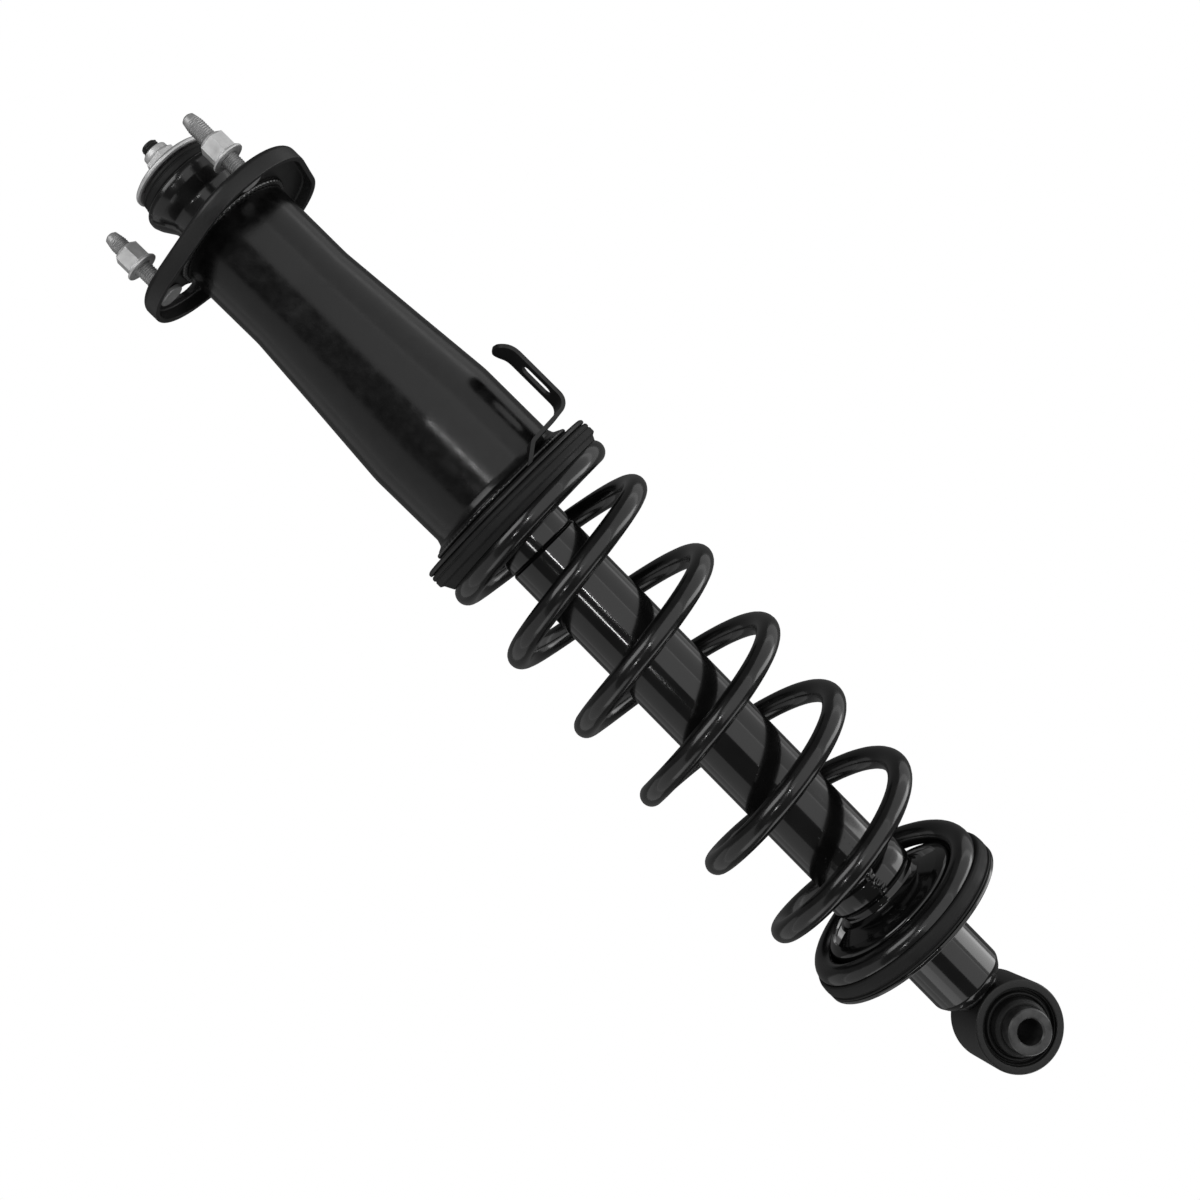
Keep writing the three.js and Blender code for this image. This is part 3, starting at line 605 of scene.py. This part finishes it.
def make_upper_isolator():
    low, top, reach = extent("upper_isolator")
    pad = turned("upper_isolator_fine", [
        (41.4, top), (56.4, top), (56.8, top - 1.4), (reach - 0.7, top - 1.5, 0.5),
        (reach, top - 2.4, 0.6), (reach, top - 3.6, 0.5), (reach - 0.8, top - 4.3, 0.5),
        (reach, top - 5, 0.5), (reach, top - 8.2, 0.9), (reach - 1.9, top - 9.2, 0.8),
        (55.2, low, 0.8), (43.4, low, 0.5),
        (42.4, low + 2.4, 0.6), (41.4, low + 3.6),
    ], around=192)
    boolean(pad, wire_mesh("isolator_pocket", WIRE + 0.25, wire_rings(COIL_FROM - 0.06, 1.0, 64), 24))
    place = Matrix.Rotation(math.radians(-72), 4, "Z") @ Matrix.Translation((0, (reach + 7.2) * MM, 0))
    outline = [(-0.25, -8), (0.25, -8), (0.25, 8), (-0.25, 8)]
    boolean(pad, prism("split_cutter", outline, top - 8.8, top - 1.6, place))
    crisp(pad, 32)
    finish_piece(pad, "tower", "black_rubber", "upper_isolator")


BRACKET_OUT = Vector(next(m["axis"] for m in frame["record"]["mounts"] if m["name"] == "bracket_face"))
BRACKET_SIDE = -40.5
BRACKET_W = 18.0
BRACKET_T = 2.2


def make_bracket():
    """A strip swept along its bends, rounded at the tip, slotted, and coped to the tower tube."""
    path = rounded([(3.3, -209.2), (17.4, -199.4, 4), (46.3, -198, 7), (46.3, -158, 12), (40.8, -149.8)],
                   closed=False)
    lengths = [0.0]
    for index in range(1, len(path)):
        lengths.append(lengths[-1] + (path[index] - path[index - 1]).length)
    dense = []
    for at in np.linspace(0, lengths[-1], 90):
        index = min(max(np.searchsorted(lengths, at), 1), len(path) - 1)
        share = (at - lengths[index - 1]) / (lengths[index] - lengths[index - 1])
        dense.append(path[index - 1].lerp(path[index], share))
    section = rounded([(-BRACKET_T / 2, -1, 0.12), (BRACKET_T / 2, -1, 0.12), (BRACKET_T / 2, 1, 0.12),
                       (-BRACKET_T / 2, 1, 0.12)])
    tip_radius = 8.0
    vertices = []
    for index, point in enumerate(dense):
        along = (dense[min(index + 1, len(dense) - 1)] - dense[max(index - 1, 0)]).normalized()
        across = Vector((along.y, -along.x))
        left = lengths[-1] * (1 - index / (len(dense) - 1))
        bite = tip_radius - math.sqrt(max(0.0, tip_radius ** 2 - max(0.0, tip_radius - left) ** 2))
        half = BRACKET_W / 2 - bite
        for thick, side in section:
            edge = half - 0.7 if abs(side) < 0.999 and abs(thick) > BRACKET_T / 2 - 1e-3 else half
            out = point + across * thick
            vertices.append((out.x, BRACKET_SIDE + math.copysign(edge, side), out.y))
    place = Matrix.Rotation(math.atan2(BRACKET_OUT.y, BRACKET_OUT.x), 4, "Z")
    strip = build("line_bracket_fine", vertices, capped_faces(len(dense), len(section)), place)
    slot_place = (place @ Matrix.Translation((0, BRACKET_SIDE * MM, -177.75 * MM))
                  @ Matrix.Rotation(math.pi / 2, 4, "Y") @ Matrix.Rotation(math.pi / 2, 4, "Z"))
    boolean(strip, prism("slot_cutter", oblong(12.5, 4.2), 41, 56, slot_place))
    low, _, flare = extent("tower_tube")
    boolean(strip, turned("cope_cutter", [
        (0, low - 20), (60, low - 20), (60, low), (flare, low), (flare, -203.6), (43.7, -202),
        (42.4, -198), (42.4, -140), (0, -140)], around=96))
    crisp(strip, 40)
    finish_piece(strip, "tower", "satin_black_paint", "line_bracket")


# ---------------------------------------------------------------- coil spring

WIRE = 6.6
COIL_R, COIL_END_R = 54.9, 51.4
COIL_TOP, COIL_BOTTOM, COIL_PITCH = -225.4, -522.7, 52.6
COIL_ZERO = math.radians(-9)
COIL_FROM, COIL_TO = -0.2, 6.7
COIL_LEAVES, COIL_EASE, COIL_EASE_OUT, COIL_OPENING = 0.1, 0.8, 0.35, 0.1
COIL_LEAN, COIL_LEAN_TURN = 2.9, -0.1
COIL_CLIMB = (COIL_TOP - COIL_BOTTOM) / COIL_PITCH


def climbed(turn):
    """How many turns' pitch the wire has dropped by, easing in and out at the closed ends."""
    def eased(past, ease):
        if past <= 0:
            return 0.0
        return past ** 2 / (2 * ease) if past < ease else past - ease / 2
    lands = COIL_LEAVES + COIL_CLIMB - COIL_OPENING + (COIL_EASE - COIL_EASE_OUT) / 2
    return (eased(turn - COIL_LEAVES, COIL_EASE) - eased(turn - lands, COIL_EASE_OUT)
            + COIL_OPENING * smooth(turn, 5.4, 6))


def smooth(value, low, high):
    share = min(1.0, max(0.0, (value - low) / (high - low)))
    return share * share * (3 - 2 * share)


def coil_point(turn):
    active = smooth(turn, 0.35, 1.1) * (1 - smooth(turn, 5.3, 6.05))
    radius = COIL_END_R + (COIL_R - COIL_END_R) * active
    sweep = turn * FULL
    middle = COIL_TOP - climbed(turn) * COIL_PITCH
    tilt = math.tan(TILT)
    shift = tilt * (COIL_BOTTOM - PIVOT_Z / MM) * (middle - COIL_TOP) / (COIL_BOTTOM - COIL_TOP)
    lean = (COIL_LEAN * active * math.cos((turn - COIL_LEAN_TURN) * FULL)
            + tilt * COIL_END_R * smooth(turn, 5.6, 6.1) * math.cos(sweep))
    angle = COIL_ZERO - sweep
    return Vector((shift + radius * math.cos(angle), radius * math.sin(angle), middle - lean))


def wire_rings(start, end, per_turn):
    """(turn, share of the radius) of each ring of a length of wire, with slightly rounded cut ends."""
    turns = np.linspace(start, end, int((end - start) * per_turn) + 1)
    lip = 0.0008
    middle = [(turn, 1.0) for turn in turns[1:-1]]
    return [(start, 0.9), (start + lip, 1.0), *middle, (end - lip, 1.0), (end, 0.9)]


def wire_mesh(name, radius, rings, columns):
    """The surface of a length of wire, ring after ring."""
    vertices = []
    for turn, share in rings:
        centre = coil_point(turn)
        along = (coil_point(turn + 0.002) - coil_point(turn - 0.002)).normalized()
        outward = Vector((math.cos(COIL_ZERO - turn * FULL), math.sin(COIL_ZERO - turn * FULL), 0))
        outward = (outward - along * outward.dot(along)).normalized()
        upward = along.cross(outward)
        for column in range(columns):
            angle = FULL * column / columns
            out = outward * math.cos(angle) + upward * math.sin(angle)
            vertices.append(centre + out * radius * share)
    return build(name, vertices, capped_faces(len(rings), columns))


def make_spring():
    """The spring's wire as one swept mesh. A blend weight for each ring, its share of the drop over the active
    turns, is worked out but not stored, so nothing makes the spring shorten.
    """
    columns = 28
    rings = wire_rings(COIL_FROM, COIL_TO, 72)
    spring = wire_mesh("coil_spring_fine", WIRE, rings, columns)
    spring.data.materials.append(SPRING_PAINT)
    coil_point(COIL_FROM) * MM
    coil_point(COIL_TO) * MM
    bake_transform(spring)
    weights = np.repeat([climbed(turn) / COIL_CLIMB for turn, _ in rings], columns)
    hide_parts("coil_spring")


# ---------------------------------------------------------------- rod and bump stop

def make_rod():
    low, top, _ = extent("piston_rod", DAMPER)
    shoulder = 5.0
    rod = turned("piston_rod_fine", [
        (0, low), (4.6, low, 0.6), (4.6, -287.6), (7, -287.6, 0.4), (7, -276.4, 0.3), (6.2, -275.6),
        (6.2, -273.6), (7, -272.8, 0.3), (7, shoulder, 1), (4.6, shoulder), (4.6, 44), (0, 44),
    ], DAMPER, 72)
    finish_piece(rod, "tower", "hard_chrome", "piston_rod")

    def envelope(height):
        return min(5.0, 3.9 + 1.2 * (top - height))

    stub = threaded("piston_rod_thread", THREAD_R, THREAD_PITCH, 42, top, envelope, DAMPER, 48)
    finish_piece(stub, "tower", "dark_steel")


def make_bump_stop():
    low, top, reach = extent("bump_stop", DAMPER)
    bore = 7.6
    bump = turned("bump_stop_fine", [
        (bore, low, 0.8), (13.6, low, 2), (17.3, low + 6, 6), (17.3, low + 14, 6), (14.6, low + 19, 2),
        (15.2, low + 22, 2), (20.4, low + 27, 6), (20.4, low + 36, 6), (17.4, low + 41, 2),
        (17.8, low + 44, 2), (reach, low + 49, 5), (reach, low + 55, 5), (18.4, low + 60, 3),
        (16, low + 62, 2), (16, top, 1), (bore, top, 0.8)], DAMPER, 96)
    finish_piece(bump, "tower", "urethane_foam", "bump_stop")


# ---------------------------------------------------------------- damper

def make_damper_tube():
    low, top, reach = extent("damper_tube", DAMPER)
    wall = 1.8
    neck_z = -243.0
    neck = 20.5
    tube = turned("damper_tube_fine", [
        (0, low), (14.6, low, 3), (19.6, low + 1.4, 4), (reach, low + 6.4, 5),
        (reach, neck_z - 0.4, 2.2), (neck, neck_z + 1.6, 1), (neck, top, 1.4), (14, top, 0.6),
        (14, top - 1.6, 0.3), (neck - wall, top - 1.6), (neck - wall, neck_z),
        (reach - wall, neck_z - 2),
        (reach - wall, low + 8, 4), (17, low + 3), (0, low + 3)], DAMPER, 160)
    finish_piece(tube, "damper", "gloss_black_paint", "damper_tube")


def make_striker_cap():
    low, top, reach = extent("striker_cap", DAMPER)
    inner = 20.8
    cap = turned("striker_cap_fine", [
        (inner, low, 0.3), (reach, low, 0.5), (reach, top, 1.8), (17, top, 0.8), (16, top - 0.7, 0.8),
        (9, top - 0.7, 0.5), (9, top - 2, 0.4), (inner, top - 2, 0.4)], DAMPER, 128)
    for turn in range(4):
        place = DAMPER @ Matrix.Rotation(FULL * turn / 4, 4, "Z") @ Matrix.Translation((13 * MM, 0, 0))
        boolean(cap, prism("vent_cutter", oblong(0.01, 1.4), top - 5, top + 2, place))
    crisp(cap)
    finish_piece(cap, "damper", "satin_black_paint", "striker_cap", look=MATERIALS["gloss_black_paint"])


SEAM_ANGLE = math.radians(-95)


def make_collar():
    low, top, reach = extent("seat_collar", DAMPER)
    inner = extent("damper_tube", DAMPER)[2]
    collar = turned("seat_collar_fine", [
        (inner, low, 0.2), (reach - 0.4, low, 1.2), (reach, low + 3, 2), (reach, top - 3.6, 2.4),
        (reach - 1.8, top, 1.6), (inner, top, 0.2)], DAMPER, 144)
    finish_piece(collar, "damper", "gloss_black_paint", "seat_collar")
    for index, (start, sweep) in enumerate([(-2.6, 0.8), (-0.9, 1.2), (1.9, 1.3)]):
        name = f"collar_weld_{index + 1}"
        bead = weld_bead(name, inner + 0.9, top + 0.2, 1.3, DAMPER, start, sweep, 2.0 + index)
        finish_piece(bead, "damper", "gloss_black_paint")
    return low, top, reach


def make_seam(low, top, reach):
    """The collar's upright seam weld: a lumpy strip down its front."""
    columns, rows = 14, 40
    vertices = []
    for row in range(rows):
        share = row / (rows - 1)
        height = low - 0.4 + (top - low + 3) * share
        drift = 0.06 * noise.noise(Vector((share * 5, 0, 4.2)))
        fade = min(1, 8 * min(share, 1 - share) + 0.1)
        size = (1.9 + 1.1 * noise.noise(Vector((share * 9, 3.1, 0)))) * fade
        for column in range(columns):
            turn = FULL * column / columns
            angle = SEAM_ANGLE + drift + size * 1.5 * math.cos(turn) / reach
            out = reach - 0.6 + size * math.sin(turn)
            vertices.append((out * math.cos(angle), out * math.sin(angle), height))
    seam = build("collar_seam_weld", vertices, capped_faces(rows, columns), DAMPER, 60)
    finish_piece(seam, "damper", "gloss_black_paint")


def make_spatter(top, inner):
    """Small beads of weld spatter on the tube just above the collar."""
    rng = np.random.default_rng(11)
    vertices, faces = [], []
    for _ in range(30):
        angle = SEAM_ANGLE + rng.normal(0, 0.45)
        height = top + rng.uniform(0.5, 22)
        size = rng.uniform(0.25, 0.6)
        centre = Vector((inner * math.cos(angle), inner * math.sin(angle), height))
        start = len(vertices)
        rows, columns = 5, 8
        for row in range(rows):
            polar = math.pi * row / (rows - 1)
            for column in range(columns):
                turn = FULL * column / columns
                offset = Vector((math.sin(polar) * math.cos(turn), math.sin(polar) * math.sin(turn),
                                 math.cos(polar) * 0.8))
                vertices.append(centre + offset * size)
        faces += [tuple(start + i for i in face) for face in grid_faces(rows, columns, False)]
    finish_piece(build("collar_spatter", vertices, faces, DAMPER, 180), "damper", "gloss_black_paint")


BRIM = -530.4
BOSS = 43.7
WINDOW_ANGLES = [math.radians(18), math.radians(145)]
WINDOW_SPAN = math.radians(35)      # each way from its middle
WINDOW_INNER_R, WINDOW_OUTER_R = 30, 38.5


def make_lower_seat():
    low, _, reach = extent("lower_spring_seat", DAMPER)
    hub = extent("damper_tube", DAMPER)[2] + 0.1
    neck_top = extent("seat_collar", DAMPER)[0] - 0.3
    seat = turned("lower_spring_seat_fine", [
        (hub, -514.5, 0.3), (26, -513.9, 1), (38.2, -516.7, 3), (BOSS - 2.2, -518.6, 2),
        (BOSS - 2.2, BRIM - 2.2, 1), (55.9, BRIM - 2.2, 0.8), (55.9, low, 0.7), (reach, low, 0.8),
        (reach, low + 2.3, 0.7), (58.1, low + 2.3, 0.5), (58.1, BRIM, 0.7), (BOSS, BRIM, 1),
        (BOSS, -516.9, 3.2), (40.6, -515.2, 1.4), (38.4, -514.2, 1.4), (27.6, -511.6, 2.6),
        (hub + 2.2, -509, 2), (hub + 2.2, neck_top, 0.5),
        (hub, neck_top, 0.3)], DAMPER, 192)
    arc = np.linspace(-WINDOW_SPAN, WINDOW_SPAN, 28)
    outline = [(WINDOW_OUTER_R * math.cos(a), WINDOW_OUTER_R * math.sin(a)) for a in arc]
    outline += [(WINDOW_INNER_R * math.cos(a), WINDOW_INNER_R * math.sin(a)) for a in -arc]
    for angle in WINDOW_ANGLES:
        place = DAMPER @ Matrix.Rotation(angle, 4, "Z")
        boolean(seat, prism("window_cutter", outline, -523, -507, place))
    soften(seat, 0.4, 2, 60)
    finish_piece(seat, "damper", "gloss_black_paint", "lower_spring_seat")


def make_lower_isolator():
    low, _, reach = extent("lower_isolator", DAMPER)
    seat = BRIM + 0.2
    pad = turned("lower_isolator_fine", [
        (BOSS + 0.2, seat, 0.3), (58.3, seat), (58.3, low, 0.3), (reach, low, 0.5),
        (reach, low + 1.1, 0.4), (reach - 1, low + 1.4, 0.2), (reach - 1, low + 2.4, 0.2),
        (reach + 0.1, low + 2.8, 0.5), (reach + 0.1, -528.6, 2),
        (reach - 0.2, -526, 0.7), (reach - 0.8, -524.6, 0.7), (58.6, -524.1, 0.4), (52.5, -524.1),
        (49, -527.4), (BOSS + 0.2, -527.4, 0.3)], DAMPER, 192)
    boolean(pad, wire_mesh("lower_pocket", WIRE + 0.25, wire_rings(5.8, COIL_TO + 0.07, 64), 24))
    crisp(pad, 32)
    finish_piece(pad, "damper", "black_rubber", "lower_isolator")


# ---------------------------------------------------------------- lower eye

EYE_RING_R = 26.0


def make_eye():
    _, half, reach = extent("eye_ring", ALONG_EYE)
    bore = 21.3
    ring = turned("eye_ring_fine", [
        (bore, -half, 0.8), (reach, -half, 1.1), (reach, half, 1.1), (bore, half, 0.8)], ALONG_EYE, 160)
    finish_piece(ring, "damper", "satin_black_paint", "eye_ring")

    _, lip_reach, _ = extent("eye_rubber", ALONG_EYE)
    side = [(bore + 0.02, half - 1.6, 0.3), (20.6, half - 1.4, 0.3), (20.1, half - 4.4, 0.5),
            (19.2, half - 4.2, 0.5), (18.6, half - 1.2, 1.1), (17.3, half - 1.4, 0.9),
            (16.9, half - 3.8, 0.7), (16.1, half - 3.6, 0.8), (15.9, half + 2.4, 1.6),
            (14.2, lip_reach, 1), (12.7, lip_reach, 0.4)]
    mirrored = [(r, -z, radius) for r, z, radius in reversed(side)]
    rubber = turned("eye_rubber_fine", side + mirrored, ALONG_EYE, 144)
    finish_piece(rubber, "damper", "black_rubber", "eye_rubber")

    _, end, outer = extent("eye_sleeve", ALONG_EYE)
    hole = 7.3
    sleeve = turned("eye_sleeve_fine", [
        (hole, -end + 0.9, 0.2), (hole + 0.9, -end, 0.2), (outer - 0.8, -end, 0.4),
        (outer, -end + 0.8, 0.4), (outer, end - 0.8, 0.4), (outer - 0.8, end, 0.4),
        (hole + 0.9, end, 0.2), (hole, end - 0.9, 0.2),
    ], ALONG_EYE, 128)
    finish_piece(sleeve, "eye_sleeve", "dark_steel", "eye_sleeve")


def make_eye_weld():
    """The lumpy weld that fills the valley between the damper's round end and the eye's ring."""
    tube_end = extent("damper_tube", DAMPER)[0]
    ring_top = EYE_CENTRE.z / MM + extent("eye_ring", ALONG_EYE)[2]
    around, rows = 96, 14
    vertices = []
    for row in range(rows):
        share = row / (rows - 1)
        for column in range(around):
            angle = FULL * column / around
            lump = noise.noise(Vector((math.cos(angle) * 2.2, math.sin(angle) * 2.2, share * 1.5)))
            ripple = 0.25 * math.sin(angle * 30 + share * 3)
            radius = 13.2 + 1.6 * math.sin(math.pi * share) + 1.3 * lump + ripple
            across = radius * math.cos(angle)
            depth = radius * math.sin(angle) * 1.1
            drop = EYE_RING_R - math.sqrt(max(0.0, EYE_RING_R ** 2 - across ** 2))
            floor = ring_top - drop - 0.6
            ceiling = tube_end + 1.6 + max(0.0, (radius - 12.5)) * 0.35
            vertices.append((across, depth, floor + (ceiling - floor) * share))
    weld = build("eye_weld_fine", vertices, capped_faces(rows, around), DAMPER, 70)
    finish_piece(weld, "damper", "satin_black_paint", "eye_weld")


def dress_inner_pieces():
    """The sealed inner pieces keep their CAD shapes and get their own materials."""
    slots = {part["node"]: part["material_slot"] for part in frame["record"]["subparts"]}
    for node, piece in frame["nodes"].items():
        if piece.hide_render:
            continue
        piece.data.materials.clear()
        piece.data.materials.append(MATERIALS[slots[node]])
        crisp(piece, 30)


# ---------------------------------------------------------------- camera, floor and light

VIEW_TURN = Matrix.Rotation(math.radians(-9.1), 4, "Z")
CAMERA_PLACE = Vector((-0.0037, -0.807, -0.232))
CAMERA_PITCH = math.radians(3.74)
CAMERA_ROLL = math.radians(45.55)
LENS = 44.1


def make_camera():
    data = bpy.data.cameras.new("camera")
    data.lens = LENS
    data.sensor_width = 36
    camera = bpy.data.objects.new("camera", data)
    bpy.context.scene.collection.objects.link(camera)
    level = Matrix.Rotation(math.pi / 2 - CAMERA_PITCH, 4, "X")
    rolled = level @ Matrix.Rotation(-CAMERA_ROLL, 4, "Z")
    camera.matrix_world = VIEW_TURN @ Matrix.Translation(CAMERA_PLACE) @ rolled
    bpy.context.scene.camera = camera


def panel(name, place, target, size, radiance):
    """A rectangular soft light, given by how bright its face is."""
    data = bpy.data.lights.new(name, "AREA")
    data.shape = "RECTANGLE"
    data.size, data.size_y = size
    data.energy = radiance * math.pi * size[0] * size[1]
    light = bpy.data.objects.new(name, data)
    bpy.context.scene.collection.objects.link(light)
    place, target = VIEW_TURN @ Vector(place), VIEW_TURN @ Vector(target)
    light.location = place
    light.rotation_mode = "QUATERNION"
    light.rotation_quaternion = (place - target).to_track_quat("Z", "Y")


# name, place, point it faces, width and height, radiance; places are turned with the camera
PANELS = [
    ("strip_left", (-0.52, -1.4, -0.3), (0, 0, -0.3), (0.04, 0.2), 30),
    ("strip_right", (0.015, -1.5, -0.12), (0, 0, -0.12), (0.02, 0.3), 62),
    ("front_panel", (0.66, -1.25, -0.5), (0, 0, -0.5), (1.3, 2.4), 0.75),
    ("right_panel", (1.38, -0.2, -0.5), (0, 0, -0.5), (1.7, 2.4), 0.55),
    ("left_panel", (-1.48, -0.26, -0.5), (0, 0, -0.5), (1.5, 2.4), 0.35),
    ("low_panel", (1.2, 0.0, -1.15), (0, 0, -0.58), (1.2, 0.5), 2.0),
    ("low_left_panel", (-1.0, -0.6, -1.2), (0, 0, -0.6), (1.0, 0.6), 0.75),
    ("back_right_panel", (1.6, 0.9, -0.5), (0, 0, -0.5), (1.0, 2.4), 0.4),
    ("back_left_panel", (-1.6, 0.9, -0.5), (0, 0, -0.5), (1.0, 2.4), 0.25),
    ("key", (-0.5, -1.0, 1.0), (0, 0, -0.3), (1.0, 0.8), 2.6),
]
FLOOR_DROP = 0.6
FLOOR_SIZE = 0.7
FLOOR_GLOW = 0.85
ROOM_LIGHT = 0.09


def make_stage():
    low = cad_box[0].z - FLOOR_DROP
    bpy.ops.mesh.primitive_plane_add(size=FLOOR_SIZE, location=(0, 0, low))
    floor = bpy.context.object
    floor.name = "floor"
    material, shader = new_material("floor_paper")
    tone = texture(material, "ShaderNodeTexNoise", 3, 3)
    vary_colour(material, tone, shader.inputs["Base Color"], grey(0.90), grey(0.92))
    shader.inputs["Roughness"].default_value = 0.9
    shader.inputs["Emission Color"].default_value = (1, 1, 1, 1)
    shader.inputs["Emission Strength"].default_value = FLOOR_GLOW
    floor.data.materials.append(material)

    world = bpy.data.worlds.new("studio")
    bpy.context.scene.world = world
    world.use_nodes = True
    tree = world.node_tree
    tree.nodes.clear()
    output = tree.nodes.new("ShaderNodeOutputWorld")
    mix = tree.nodes.new("ShaderNodeMixShader")
    path = tree.nodes.new("ShaderNodeLightPath")
    seen, room = tree.nodes.new("ShaderNodeBackground"), tree.nodes.new("ShaderNodeBackground")
    seen.inputs["Color"].default_value = (1, 1, 1, 1)
    room.inputs["Color"].default_value = (1, 1, 1, 1)
    room.inputs["Strength"].default_value = ROOM_LIGHT
    tree.links.new(path.outputs["Is Camera Ray"], mix.inputs["Fac"])
    tree.links.new(room.outputs["Background"], mix.inputs[1])
    tree.links.new(seen.outputs["Background"], mix.inputs[2])
    tree.links.new(mix.outputs["Shader"], output.inputs["Surface"])

    for light in PANELS:
        panel(*light)
    bpy.context.scene.view_settings.view_transform = "Standard"


# ---------------------------------------------------------------- make everything

make_camera()
make_stage()
make_flange()
for number in (1, 2, 3):
    make_stud(number)
make_mount_nuts()
make_cup()
make_bushings()
make_washers()
make_tower_tube()
make_upper_seat()
make_upper_isolator()
make_bracket()
make_spring()
make_rod()
make_bump_stop()
make_damper_tube()
make_striker_cap()
collar_low, collar_top, collar_reach = make_collar()
make_seam(collar_low, collar_top, collar_reach)
make_spatter(collar_top, extent("damper_tube", DAMPER)[2])
make_lower_seat()
make_lower_isolator()
make_eye()
make_eye_weld()
dress_inner_pieces()
